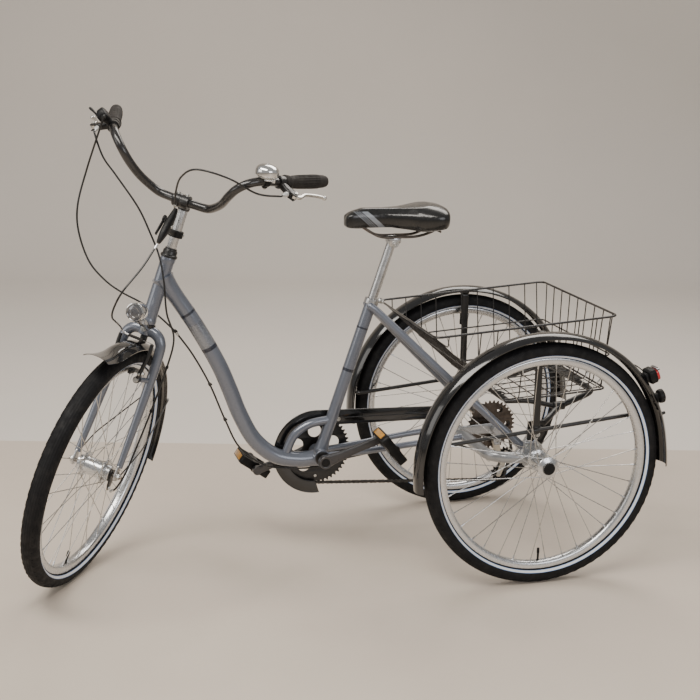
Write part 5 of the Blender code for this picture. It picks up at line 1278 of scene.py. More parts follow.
def make_carrier():
    x = 0.2440
    floor_z = 0.488
    path = bend(rel([(x, 0.004, 0.3920), (x - 0.020, 0.050, 0.4170), (0.170, 0.105, 0.4330),
                     (0.160, 0.203, floor_z - 0.024),
                     (0.140, 0.214, floor_z - 0.020), (-0.140, 0.214, floor_z - 0.020),
                     (-0.160, 0.203, floor_z - 0.024),
                     (-0.170, 0.105, 0.4330), (-x + 0.020, 0.050, 0.4170), (-x, 0.004, 0.3920)]), 0.026)
    pieces = [sweep("carrier_tube", path, 0.0085, SATIN_BLACK, 20)]
    outline = soften([(-0.018, 0.0455), (0.020, 0.0455), (0.032, 0.062), (0.032, 0.098), (-0.018, 0.098)],
                     0.004)
    for side in (1, -1):
        pieces.append(prism("carrier_plate", outline, 0.005, side_frame(side * 0.2514, 0, AXLE_Z),
                            SATIN_BLACK,
                            [circle(0.0042, 14, (0.020, 0.084))], 0.0009))
        pieces.append(rod("carrier_pin", world((side * 0.245, 0.004, 0.392)),
                          world((side * 0.2700, 0.004, 0.392)), 0.0100,
                          SATIN_BLACK, 24))
        pieces.append(bolt("carrier_bolt_low", world((side * 0.2540, 0.006, 0.3790)), (side, 0, 0), 0.0050,
                           0.0045))
        pieces.append(bolt("carrier_bolt_high", world((side * 0.2700, 0.004, 0.3920)), (side, 0, 0), 0.0050,
                           0.0045))
        arm = bend(rel([(side * 0.170, 0.105, 0.4330), (side * 0.168, 0.020, 0.4560),
                        (side * 0.165, -0.050, 0.4580)]), 0.03)
        pieces.append(sweep("carrier_arm", arm, 0.0070, SATIN_BLACK, 18))
        pieces.append(blob("carrier_node", world((side * 0.170, 0.090, 0.4360)),
                           world((side * 0.170, 0.122, 0.4370)), 0.0110, 0.0110,
                           (1, 0, 0), SATIN_BLACK, 0.6))
        strap = bend(rel([(side * 0.1100, -0.045, 0.4640), (side * 0.1100, -0.040, 0.4690),
                          (side * 0.1100, -0.028, 0.4640)]), 0.003)
        pieces.append(tapered("carrier_strap", strap, [0.0080] * len(strap), [0.0016] * len(strap), (1, 0, 0),
                              SATIN_BLACK, 0.3, 12))
    pieces.append(rod("carrier_front", world((-0.166, -0.040, 0.4580)), world((0.166, -0.040, 0.4580)),
                      0.0070, SATIN_BLACK, 20))
    pad = blob("carrier_pad", world((0, 0.200, floor_z - 0.0115)), world((0, 0.224, floor_z - 0.0100)), 0.060,
               0.0030, (1, 0, 0),
               SATIN_BLACK, 0.3, 0.001)
    pieces.append(pad)
    show(join("basket_carrier", pieces), "frame", "rear_carrier", slot="satin_black")


make_rear_fenders()
make_basket()
make_carrier()


# ---- front end ---------------------------------------------------------------------------------
BAR_HALF = [(0.000, -0.029, 0.722), (0.034, -0.020, 0.722), (0.068, -0.019, 0.724), (0.094, -0.038, 0.736),
            (0.116, -0.064, 0.752), (0.136, -0.095, 0.775), (0.156, -0.113, 0.799), (0.178, -0.112, 0.820),
            (0.200, -0.094, 0.835), (0.220, -0.063, 0.843), (0.236, -0.028, 0.849), (0.268, 0.040, 0.863),
            (0.300, 0.103, 0.880)]
GRIP_START, GRIP_END = Vector((0.238, -0.024, 0.8500)), Vector((0.3025, 0.108, 0.8815))
WHITE_PLASTIC = material("barrel_plastic", (0.62, 0.62, 0.60), 0.40, 0.3, 0.0, 0.08, 30.0, 1500, 0.00005)
BLADE_ALLOY = material("lever_alloy", (0.66, 0.65, 0.62), 0.20, 1.0, 0.0, 0.06, 30.0, 1500, 0.00003)


def there(points):
    return [steered(p) for p in points]


def make_fork():
    pieces = [lathe("fork_crown", rounded([(0.0100, 0.3640), (0.0185, 0.3640), (0.0195, 0.3900),
                                           (0.0185, 0.3936), (0.0100, 0.3936)],
                                          0.001), STEER, SILVER_PAINT, 44)]
    pieces.append(lathe("steerer", [(0.0112, 0.3900), (0.0127, 0.3900), (0.0127, 0.5930), (0.0112, 0.5930)],
                        STEER, STEEL, 32))
    route = [(0.000, 0, 0.3740), (0.020, 0, 0.3755), (0.036, 0.0005, 0.3700), (0.047, 0.001, 0.3580),
             (0.0535, 0.001, 0.335),
             (0.0560, -0.006, 0.250), (0.0590, -0.030, 0.110), (0.0610, -0.0470, 0.022)]
    for side in (1, -1):
        path = spline(there([(side * x, y, z) for x, y, z in route]), 90)
        radii = []
        for i in range(90):
            s = i / 89
            radii.append(1.12 - 0.14 * min(1.0, s / 0.25) - 0.36 * max(0.0, (s - 0.30) / 0.70) ** 1.1)
        pieces.append(sweep("fork_blade", path, 0.0135, SILVER_PAINT, 28, radii))
        local_side = STEER @ Matrix.Translation((side * 0.0610, -0.051, 0)) @ Matrix(((0, 0, 1, 0),
            (1, 0, 0, 0), (0, 1, 0, 0),
                                                                                     (0, 0, 0, 1)))
        tip = soften([(-0.006, 0.030), (0.010, 0.030), (0.013, 0.0), (0.009, -0.013), (-0.009, -0.013),
                      (-0.013, 0.0)], 0.004)
        pieces.append(prism("fork_tip", tip, 0.005, local_side, ALLOY, (), 0.0010))
        pieces.append(rod("brake_boss", steered((side * 0.0372, -0.0335, 0.255)),
                          steered((side * 0.055, -0.008, 0.255)), 0.0065,
                          SILVER_PAINT, 18))
        pieces.append(bolt("axle_nut", steered((side * 0.0636, -0.051, 0)), steered_way((side, 0, 0)), 0.0090,
                           0.0075))
        pieces.append(lathe("axle_washer", rounded([(0.0040, 0), (0.0125, 0), (0.0125, 0.0016),
                                                    (0.0040, 0.0016)], 0.0004),
                            on(steered((side * 0.0632, -0.051, 0)), steered_way((side, 0, 0))), ZINC_BOLT,
                            24))
    pieces.append(rod("front_axle", steered((-0.0760, -0.051, 0)), steered((0.0760, -0.051, 0)), 0.0046,
                      STEEL, 16))
    path = bend(there([(0.010, -0.004, 0.3780), (0.010, -0.030, 0.3920), (0.010, -0.0560, 0.4040)]), 0.01)
    pieces.append(tapered("lamp_bracket", path, [0.0022] * len(path), [0.0075] * len(path),
                          steered_way((1, 0, 0)), ALLOY, 0.4, 16))
    pieces.append(bolt("bracket_bolt", steered((0, -0.0190, 0.3790)), steered_way((0, -1, 0)), 0.0055,
                       0.0050))
    show(join("fork_body", pieces), "steering", "fork", slot="frame_paint")

    top = rounded([(0.0130, 0.5732), (0.0218, 0.5732), (0.0222, 0.5760), (0.0216, 0.5800), (0.0186, 0.5812),
                   (0.0186, 0.5905),
                   (0.0156, 0.5932), (0.0156, 0.5975), (0.0130, 0.5980)], 0.0008)
    low_ring = rounded([(0.0150, 0.3842), (0.0212, 0.3842), (0.0222, 0.3885), (0.0218, 0.3936),
                        (0.0150, 0.3936)], 0.0008)
    show(join("headset_rings", [lathe("ring_top", top, STEER, SATIN_BLACK, 44),
                                lathe("ring_low", low_ring, STEER, SATIN_BLACK, 44)]),
         "steering", "headset", slot="satin_black")


def bar_spot(side, back):
    """A point on the bar inboard of the grip, and the bar's way there."""
    route = [Vector((side * x, y, z)) for x, y, z in BAR_HALF]
    path = spline(route, 121)
    start = Vector((side * GRIP_START.x, GRIP_START.y, GRIP_START.z))
    nearest = min(range(len(path)), key=lambda i: (path[i] - start).length)
    walked = 0.0
    while walked < back and nearest > 1:
        walked += (path[nearest] - path[nearest - 1]).length
        nearest -= 1
    return path[nearest], (path[nearest + 1] - path[nearest - 1]).normalized()


def grip_ways(side):
    along = (GRIP_END - GRIP_START).normalized()
    out = Vector((0.80, -0.35, -0.48))
    out = (out - along * out.dot(along)).normalized()
    flip = Vector((side, 1, 1))
    return along * flip, out * flip


def make_cockpit():
    rings = []
    for z in (0.5930, 0.5950, 0.7020, 0.7040):
        edge = 0.0006 if z in (0.5930, 0.7040) else 0.0
        ring = []
        for k in range(112):
            t = 2 * math.pi * k / 112
            r = 0.0126 - edge - 0.0007 * max(0.0, math.cos(14 * t)) ** 3
            ring.append(steered((r * math.cos(t), r * math.sin(t), z)))
        rings.append(ring)
    pieces = [loft("quill", rings, ALLOY, smooth=70)]
    pieces.append(lathe("clamp_neck", rounded([(0, 0.6985), (0.0150, 0.6985), (0.0158, 0.7050),
                                               (0.0150, 0.7260), (0, 0.7265)], 0.0012),
                        STEER, SATIN_BLACK, 40))
    pieces.append(tapered("clamp_arm", there([(0, 0.006, 0.712), (0, -0.010, 0.716), (0, -0.026, 0.7215)]),
                          [0.0135, 0.0145, 0.0190],
                          [0.0125, 0.0125, 0.0150], steered_way((1, 0, 0)), SATIN_BLACK, 0.6, 24))
    shell = rounded([(0.0105, -0.0215), (0.0180, -0.0215), (0.0182, -0.0030), (0.0170, -0.0022),
                     (0.0170, 0.0022), (0.0182, 0.0030),
                     (0.0180, 0.0215), (0.0105, 0.0215)], 0.0012)
    pieces.append(lathe("clamp_shell", shell, on(steered((0, -0.029, 0.722)), steered_way((1, 0, 0))),
                        SATIN_BLACK, 40))
    for x in (-0.012, 0.012):
        pieces.append(bolt("clamp_bolt", steered((x, -0.0325, 0.7385)), steered_way((0, -0.25, 1)), 0.0044,
                           0.0050, ZINC_BOLT, 18))
    pieces.append(bolt("quill_bolt", steered((0, 0.004, 0.7262)), steered_way((0, 0, 1)), 0.0060, 0.0050,
                       ZINC_BOLT, 18))
    show(join("stem_body", pieces), "steering", "stem", slot="alloy")

    whole = [(-x, y, z) for x, y, z in reversed(BAR_HALF[1:])] + BAR_HALF
    show(sweep("bar_tube", spline(there(whole), 260), 0.0111, BAR_BLACK, 28), "steering", "handlebar",
         slot="gloss_black")

    for side, word in ((1, "left"), (-1, "right")):
        start = steered((side * GRIP_START.x, GRIP_START.y, GRIP_START.z))
        end = steered((side * GRIP_END.x, GRIP_END.y, GRIP_END.z))
        profile = [(0, -0.0004), (0.0150, -0.0002), (0.0180, 0.0010), (0.0187, 0.0030), (0.0178, 0.0050),
                   (0.0165, 0.0062),
                   (0.0176, 0.0078), (0.0177, 0.0092), (0.0163, 0.0108), (0.0173, 0.0124), (0.0173, 0.0136),
                   (0.0160, 0.0154),
                   (0.0156, 0.0220), (0.0160, 0.0450), (0.0168, 0.0750), (0.0171, 0.1000), (0.0168, 0.1220),
                   (0.0160, 0.1380),
                   (0.0140, 0.1465), (0.0105, 0.1502), (0.0055, 0.1515), (0, 0.1518)]
        body = lathe("hand_grip", profile, on(start, end - start), GRIP_RUBBER, 44, smooth=50)
        ridges = []
        frame_here = on(start, end - start)
        for k in range(18):
            t = 2 * math.pi * k / 18
            ridges.append(([frame_here @ Vector((r * math.cos(t), r * math.sin(t), h)) for r, h in
                            ((0.0152, 0.026), (0.0163, 0.046), (0.0170, 0.075), (0.0173, 0.100),
                             (0.0168, 0.120))], 0.0009))
        show(join("hand_grip_" + word, [body, wires("grip_ridges", ridges, GRIP_RUBBER, 6)]), "steering",
             "grip_" + word,
             slot="grip_rubber")


def make_levers():
    for side, word in ((1, "left"), (-1, "right")):
        along, out = grip_ways(side)
        centre, bar_way = bar_spot(side, 0.012)
        pivot = centre + out * 0.050 + along * 0.012
        up = along.cross(out).normalized()
        lift = steered_way(up)
        pieces = [lathe("perch_ring", rounded([(0.0108, -0.0092), (0.0165, -0.0092), (0.0165, 0.0092),
                                               (0.0108, 0.0092)], 0.0014),
                        on(steered(centre), steered_way(bar_way)), SATIN_BLACK, 40)]
        arm = there([centre + out * 0.010, centre + out * 0.026 + along * 0.002,
                     centre + out * 0.040 + along * 0.006])
        pieces.append(tapered("perch_arm", arm, [0.0095, 0.0088, 0.0095], [0.0105, 0.0110, 0.0135], lift,
                              SATIN_BLACK, 0.6, 24))
        for s in (1, -1):
            cheek = [centre + out * 0.036 + along * 0.004 + up * (s * 0.0072),
                     pivot + out * 0.007 + up * (s * 0.0072)]
            pieces.append(tapered("perch_cheek", there(cheek), [0.0018, 0.0018], [0.0110, 0.0085], lift,
                                  SATIN_BLACK, 0.5, 16))
            pieces.append(bolt("lever_screw", steered(pivot + up * (s * 0.0090)), steered_way(up * s), 0.0042,
                               0.0026, ZINC_BOLT, 18,
                               False))
        mouth = centre + out * 0.0400 + along * 0.0020
        way = (centre + out * 0.046 - along * 0.028) - mouth
        place = on(steered(mouth), steered_way(way))
        pieces.append(lathe("barrel_seat", rounded([(0, 0), (0.0078, 0), (0.0074, 0.0100), (0, 0.0100)],
                                                   0.0008), place,
                            SATIN_BLACK, 24))
        pieces.append(lathe("barrel", rounded([(0, 0.0098), (0.0060, 0.0098), (0.0066, 0.0130),
                                               (0.0066, 0.0190), (0.0048, 0.0215),
                                               (0.0040, 0.0300), (0, 0.0302)], 0.0006), place, WHITE_PLASTIC,
                            20))
        show(join("lever_perch_" + word, pieces), "steering", "brake_perch_" + word, slot="black_plastic")

        route = [pivot - along * 0.004 - out * 0.002, pivot + along * 0.014 + out * 0.006,
                 pivot + along * 0.040 - out * 0.002,
                 pivot + along * 0.075 + out * 0.002, pivot + along * 0.1005 + out * 0.0105]
        path = spline(there(route), 40)
        wide = [0.0042 + 0.0010 * math.sin(math.pi * min(1.0, i / 24)) for i in range(40)]
        tall = [0.0060 - 0.0022 * min(1.0, i / 18) for i in range(40)]
        blade = [tapered("lever_blade", path, wide, tall, lift, BLADE_ALLOY, 0.7, 20)]
        ball = Matrix.Translation(steered(pivot + along * 0.0990 + out * 0.0100))
        blade.append(lathe("lever_ball", [(0.0064 * math.sin(a), -0.0064 * math.cos(a)) for a in
                                          (math.pi * k / 12 for k in range(13))], ball, BLADE_ALLOY, 24))
        blade.append(rod("lever_hub", steered(pivot + up * 0.0050), steered(pivot - up * 0.0050), 0.0075,
                         BLADE_ALLOY, 24, 0.001))
        show(join("lever_blade_" + word, blade), "brake_lever_" + word, "brake_lever_" + word, slot="alloy")


def make_shifter_and_bell():
    along, out = grip_ways(-1)
    centre, bar_way = bar_spot(-1, 0.036)
    below = Matrix.Rotation(math.radians(62), 3, along) @ out
    drum_at = centre + below * 0.036
    axis = along.cross(below).normalized()
    pieces = [lathe("shift_ring", rounded([(0.0108, -0.0082), (0.0160, -0.0082), (0.0160, 0.0082),
                                           (0.0108, 0.0082)], 0.0012),
                    on(steered(centre), steered_way(bar_way)), SATIN_BLACK, 36)]
    pieces.append(tapered("shift_neck", there([centre + below * 0.011, centre + below * 0.024, drum_at]),
                          [0.0085, 0.0095, 0.0100],
                          [0.0100, 0.0130, 0.0165], steered_way(axis), PLASTIC_BLACK, 0.5, 24))
    pieces.append(lathe("shift_drum", rounded([(0, -0.0102), (0.0165, -0.0102), (0.0190, -0.0070),
                                               (0.0190, 0.0070),
                                               (0.0165, 0.0102), (0, 0.0106)], 0.0016),
                        on(steered(drum_at), steered_way(axis)),
                        PLASTIC_BLACK, 40))
    pieces.append(lathe("shift_outlet", rounded([(0, 0.012), (0.0058, 0.012), (0.0055, 0.026),
                                                 (0.0040, 0.0320), (0, 0.0320)], 0.0008),
                        on(steered(drum_at), steered_way(-along)), PLASTIC_BLACK, 20))
    show(join("shift_body", pieces), "steering", "shifter", slot="black_plastic")
    hinge = drum_at - axis * 0.0106
    tab = [hinge - axis * 0.0030, hinge + along * 0.010 + below * 0.016 - axis * 0.0050,
           hinge + along * 0.016 + below * 0.034
           - axis * 0.0080]
    lever = [rod("thumb_hub", steered(hinge), steered(hinge - axis * 0.0052), 0.0130, PLASTIC_BLACK, 30,
                 0.0012),
             tapered("thumb_tab", spline(there(tab), 12), [0.0024] * 8 + [0.0028, 0.0032, 0.0032, 0.0024],
                     [0.0050, 0.0050, 0.0052, 0.0055, 0.0060, 0.0065, 0.0072, 0.0080, 0.0086, 0.0088, 0.0080,
                      0.0055],
                     steered_way(axis), PLASTIC_BLACK, 0.6, 18)]
    show(join("thumb_lever", lever), "shift_lever", "shift_lever", slot="black_plastic")

    seat, way = bar_spot(1, 0.062)
    up = Vector((0.10, 0.10, 1.0)).normalized()
    up = (up - way * up.dot(way)).normalized()
    place = on(steered(seat), steered_way(up))
    bell = [lathe("bell_dome", [(0, 0.0138), (0.0272, 0.0140), (0.0288, 0.0150), (0.0294, 0.0170),
                                (0.0294, 0.0270), (0.0288, 0.0305),
                                (0.0272, 0.0340), (0.0240, 0.0375), (0.0195, 0.0402), (0.0140, 0.0421),
                                (0.0070, 0.0432), (0, 0.0435)],
                  place, CHROME, 56, smooth=60)]
    bell.append(lathe("bell_screw", [(0, 0.0430), (0.0036, 0.0432), (0.0034, 0.0448), (0, 0.0452)], place,
                      CHROME, 18))
    bell.append(lathe("bell_base", rounded([(0, 0.0090), (0.0200, 0.0090), (0.0235, 0.0120), (0.0235, 0.0140),
                                            (0, 0.0140)], 0.0008),
                      place, WHITE_PLASTIC, 36))
    bell.append(lathe("bell_foot", rounded([(0, 0.0060), (0.0120, 0.0060), (0.0100, 0.0100), (0, 0.0100)],
                                           0.0008), place,
                      PLASTIC_BLACK, 28))
    bell.append(lathe("bell_band", rounded([(0.0110, -0.0075), (0.0136, -0.0075), (0.0136, 0.0075),
                                            (0.0110, 0.0075)], 0.0010),
                      on(steered(seat), steered_way(way)), PLASTIC_BLACK, 36))
    side_way = way.cross(up).normalized()
    bell.append(blob("bell_clip", steered(seat - up * 0.0115 - way * 0.006),
                     steered(seat - up * 0.0115 + way * 0.006), 0.0045, 0.0050,
                     steered_way(side_way), PLASTIC_BLACK, 0.5, 0.001))
    bell.append(bolt("bell_bolt", steered(seat - up * 0.0160), steered_way(-up), 0.0038, 0.0030, ZINC_BOLT,
                     18))
    show(join("bell_body", bell), "steering", "bell", slot="chrome")
    spot = seat + up * 0.0085 + side_way * 0.0300
    thumb = [rod("ring_hinge", steered(spot - up * 0.004), steered(spot + up * 0.004), 0.0045, CHROME, 20),
             tapered("ring_tab", spline(there([spot, spot - way * 0.012 + up * 0.001,
                                               spot - way * 0.0265 + up * 0.002]), 8),
                     [0.0016] * 8, [0.0030, 0.0032, 0.0036, 0.0040, 0.0045, 0.0048, 0.0046, 0.0034],
                     steered_way(up), CHROME, 0.6, 16)]
    show(join("ring_thumb", thumb), "bell_lever", "bell_lever", slot="black_plastic")


def make_brakes():
    for side, word in ((1, "left"), (-1, "right")):
        pivot = Vector((side * 0.0345, -0.0455, 0.255))
        route = [pivot + Vector(p) for p in ((0, 0, -0.004), (side * 0.0055, -0.003, 0.030),
                                             (side * 0.0105, 0, 0.070),
                                             (side * 0.0105, 0.002, 0.0985))]
        path = spline(there(route), 24)
        tall = [0.0085 - 0.0040 * min(1.0, i / 20) for i in range(24)]
        pieces = [tapered("arm_body", path, [0.0046] * 24, tall, steered_way((1, 0, 0)), SATIN_BLACK, 0.55,
                          20)]
        pieces.append(lathe("arm_boss", rounded([(0, -0.0075), (0.0088, -0.0075), (0.0092, 0.0),
                                                 (0.0088, 0.0060), (0, 0.0060)], 0.0012),
                            on(steered(pivot), steered_way((0, 1, 0))), SATIN_BLACK, 30))
        pieces.append(bolt("arm_bolt", steered(pivot + Vector((0, -0.0074, 0))), steered_way((0, -1, 0)),
                           0.0052, 0.0040, ZINC_BOLT, 18))
        pieces.append(bolt("arm_spring", steered(pivot + Vector((side * 0.004, -0.0080, 0.0160))),
                           steered_way((side, -0.4, 0)), 0.0034,
                           0.0030, ZINC_BOLT, 18))
        hold = pivot + Vector((side * 0.0050, -0.002, 0.0185))
        inner = Vector((side * 0.0225, -0.0475, 0.2735))
        pieces.append(rod("pad_post", steered(hold + Vector((side * 0.0085, 0, 0))), steered(inner), 0.0032,
                          ZINC_BOLT, 16))
        pieces.append(bolt("pad_nut", steered(hold + Vector((side * 0.0050, 0, 0))),
                           steered_way((side, 0, 0)), 0.0056, 0.0050))
        for x, half, finish in ((0.0218, 0.0018, SATIN_BLACK), (0.0178, 0.0026, PLASTIC_BLACK)):
            arc_points = []
            for k in range(-4, 5):
                t = math.radians(90 + k * 1.45)
                arc_points.append((side * x, -0.051 + 0.2745 * math.cos(t) + 0.003, 0.2745 * math.sin(t)))
            pieces.append(tapered("pad", there(arc_points), [half] * 9, [0.0040] + [0.0050] * 7 + [0.0040],
                                  steered_way((1, 0, 0)),
                                  finish, 0.4, 16))
        show(join("brake_arm_" + word, pieces), "v_brake_arm_" + word, "v_brake_arm_" + word,
             slot="satin_black")

    hub_side = STEER @ Matrix.Translation((0.0500, -0.051, 0)) @ Matrix(((0, 0, 1, 0), (1, 0, 0, 0),
        (0, 1, 0, 0), (0, 0, 0, 1)))
    outline = soften([(-0.013, 0.012), (0.013, 0.012), (0.011, -0.030), (0.000, -0.046), (-0.011, -0.030)],
                     0.006)
    hub = [prism("hub_arm_plate", outline, 0.004, hub_side, SATIN_BLACK, [circle(0.0053, 20)], 0.0008)]
    hub.append(bolt("hub_arm_bolt", steered((0.0520, -0.052, -0.036)), steered_way((1, 0, 0)), 0.0042, 0.0035,
                    ZINC_BOLT, 6))
    show(join("hub_arm_plate", hub), "hub_brake_arm", "hub_brake_arm", slot="satin_black")

    ring = lathe("park_ring", rounded([(0.0126, 0.6270), (0.0190, 0.6270), (0.0190, 0.6450),
                                       (0.0126, 0.6450)], 0.0014), STEER,
                 PLASTIC_BLACK, 40)
    leaf = spline(there([(0, -0.0985, 0.610), (0, -0.090, 0.626), (0, -0.079, 0.643), (0, -0.066, 0.664),
                         (0, -0.057, 0.684),
                         (0, -0.0515, 0.7010)]), 24)
    tall = [0.0030 + 0.0112 * math.sin(math.pi * min(1.0, (i + 1) / 25)) ** 0.8 for i in range(24)]
    wide = [0.0035 + 0.0065 * math.sin(math.pi * (i + 1) / 25) ** 0.8 for i in range(24)]
    park = [ring, tapered("park_leaf", leaf, wide, tall, steered_way((1, 0, 0)), PLASTIC_BLACK, 0.8, 24)]
    park.append(tapered("park_arm", there([(0, -0.070, 0.648), (0, -0.040, 0.641), (0, -0.014, 0.636)]),
                        [0.0070, 0.0062, 0.0075],
                        [0.0085, 0.0060, 0.0080], steered_way((1, 0, 0)), PLASTIC_BLACK, 0.6, 18))
    park.append(bolt("park_bolt", steered((0.0085, -0.070, 0.655)), steered_way((1, 0, 0)), 0.0042, 0.0030,
                     ZINC_BOLT, 18))
    park.append(bolt("park_ring_bolt", steered((0.0170, 0.0070, 0.636)), steered_way((1, 0.4, 0)), 0.0036,
                     0.0030, ZINC_BOLT, 18))
    show(join("park_body", park), "steering", "parking_brake", slot="black_plastic")
    at = Vector((-0.0140, -0.062, 0.668))
    lever = [rod("park_hub", steered(at + Vector((-0.0006, 0, 0))), steered(at + Vector((-0.0062, 0, 0))),
                 0.0100, PLASTIC_BLACK, 28,
                 0.001)]
    lever.append(tapered("park_blade", there([at + Vector((-0.0035, 0, 0)),
                                              at + Vector((-0.0035, -0.013, -0.020)),
                                              at + Vector((-0.0035, -0.0265, -0.0405))]), [0.0022] * 3,
                         [0.0060, 0.0062, 0.0045],
                         steered_way((1, 0, 0)), PLASTIC_BLACK, 0.5, 18))
    show(join("park_lever", lever), "parking_lever", "parking_lever", slot="black_plastic")


def make_front_fender_and_lamp():
    def flare(share):
        rise = max(0.0, share - 0.86) / 0.14
        return 0.045 * rise ** 2, 1.0 + 0.10 * rise

    skin = fender_skin("front_guard", STEER @ Matrix.Translation((0, -0.051, 0)), 0.3470, math.radians(-4),
                       math.radians(124), flare,
                       GLOSS_BLACK)
    pieces = [skin, blob("guard_bridge", steered((0, 0.0035, 0.3420)), steered((0, 0.0035, 0.3600)), 0.0090,
                         0.0070,
                         steered_way((1, 0, 0)), SATIN_BLACK, 0.5)]
    for side in (1, -1):
        wire = bend(there([(side * 0.0690, -0.0440, 0.004), (side * 0.0690, 0.060, 0.060),
                           (side * 0.0330, 0.2450, 0.1650)]), 0.02)
        pieces.append(sweep("guard_wire", wire, 0.0018, SATIN_BLACK, 10))
        pieces.append(bolt("guard_wire_bolt", steered((side * 0.0300, 0.2460, 0.1655)),
                           steered_way((side, 0, 0)), 0.0045, 0.0035))
    show(join("front_guard", pieces), "steering", "front_fender", slot="gloss_black")

    place = STEER @ Matrix.Translation((0, -0.050, 0.402)) @ on((0, -0.042, 0.026), (0, -1, -0.08))
    shell = [(0.0000, -0.0310), (0.0080, -0.0302), (0.0150, -0.0262), (0.0205, -0.0190), (0.0238, -0.0080),
             (0.0248, 0.0040),
             (0.0250, 0.0150), (0.0244, 0.0176), (0.0226, 0.0180), (0.0220, 0.0160), (0.0200, 0.0050),
             (0.0140, -0.0080), (0.0060, -0.0130),
             (0.0000, -0.0135)]
    lamp = [lathe("lamp_shell", shell, place, CHROME, 52, smooth=50)]
    lamp.append(lathe("lamp_glass", [(0, 0.0150), (0.0222, 0.0148), (0.0222, 0.0160), (0.0180, 0.0178),
                                     (0.0090, 0.0190), (0, 0.0194)],
                      place, LENS_CLEAR, 52, smooth=60))
    for r, finish in ((0.0208, CHROME), (0.0120, CHROME), (0.0055, PLASTIC_BLACK)):
        lamp.append(lathe("lamp_trim", [(r - 0.0014, 0.0170), (r, 0.0196), (r + 0.0012, 0.0170)], place,
                          finish, 44, closed=True))
    lamp.append(rod("lamp_tilt", steered((-0.010, -0.050, 0.402)), steered((0.010, -0.050, 0.402)), 0.0085,
                    ALLOY, 28, 0.001))
    lamp.append(tapered("lamp_foot_front", there([(0, -0.053, 0.4020), (0, -0.070, 0.4045),
                                                  (0, -0.084, 0.4120)]), [0.0085, 0.0090, 0.0080],
                        [0.0075, 0.0070, 0.0065], steered_way((1, 0, 0)), ALLOY, 0.6, 20))
    show(join("front_lamp", lamp), "headlamp", "headlamp", slot="chrome")


def barrel_end(side):
    """The tip of a brake lever's barrel adjuster, and the way its cable leaves."""
    along, out = grip_ways(side)
    centre = bar_spot(side, 0.012)[0]
    mouth, tip = centre + out * 0.0400 + along * 0.0020, centre + out * 0.046 - along * 0.028
    return tip, (tip - mouth).normalized()


def shift_outlet():
    along, out = grip_ways(-1)
    drum_at = bar_spot(-1, 0.036)[0] + (Matrix.Rotation(math.radians(62), 3, along) @ out) * 0.036
    return drum_at - along * 0.030, -along


def cable(name, points, count, radius=0.0025):
    return sweep(name, spline(points, count), radius, CASING_BLACK, 12)


def ferrule(at, way, finish=None, length=0.010):
    return lathe("ferrule", rounded([(0, 0), (0.0034, 0), (0.0036, length * 0.6), (0.0030, length),
                                     (0, length)], 0.0004), on(at, way),
                 finish or ZINC_BOLT, 16)


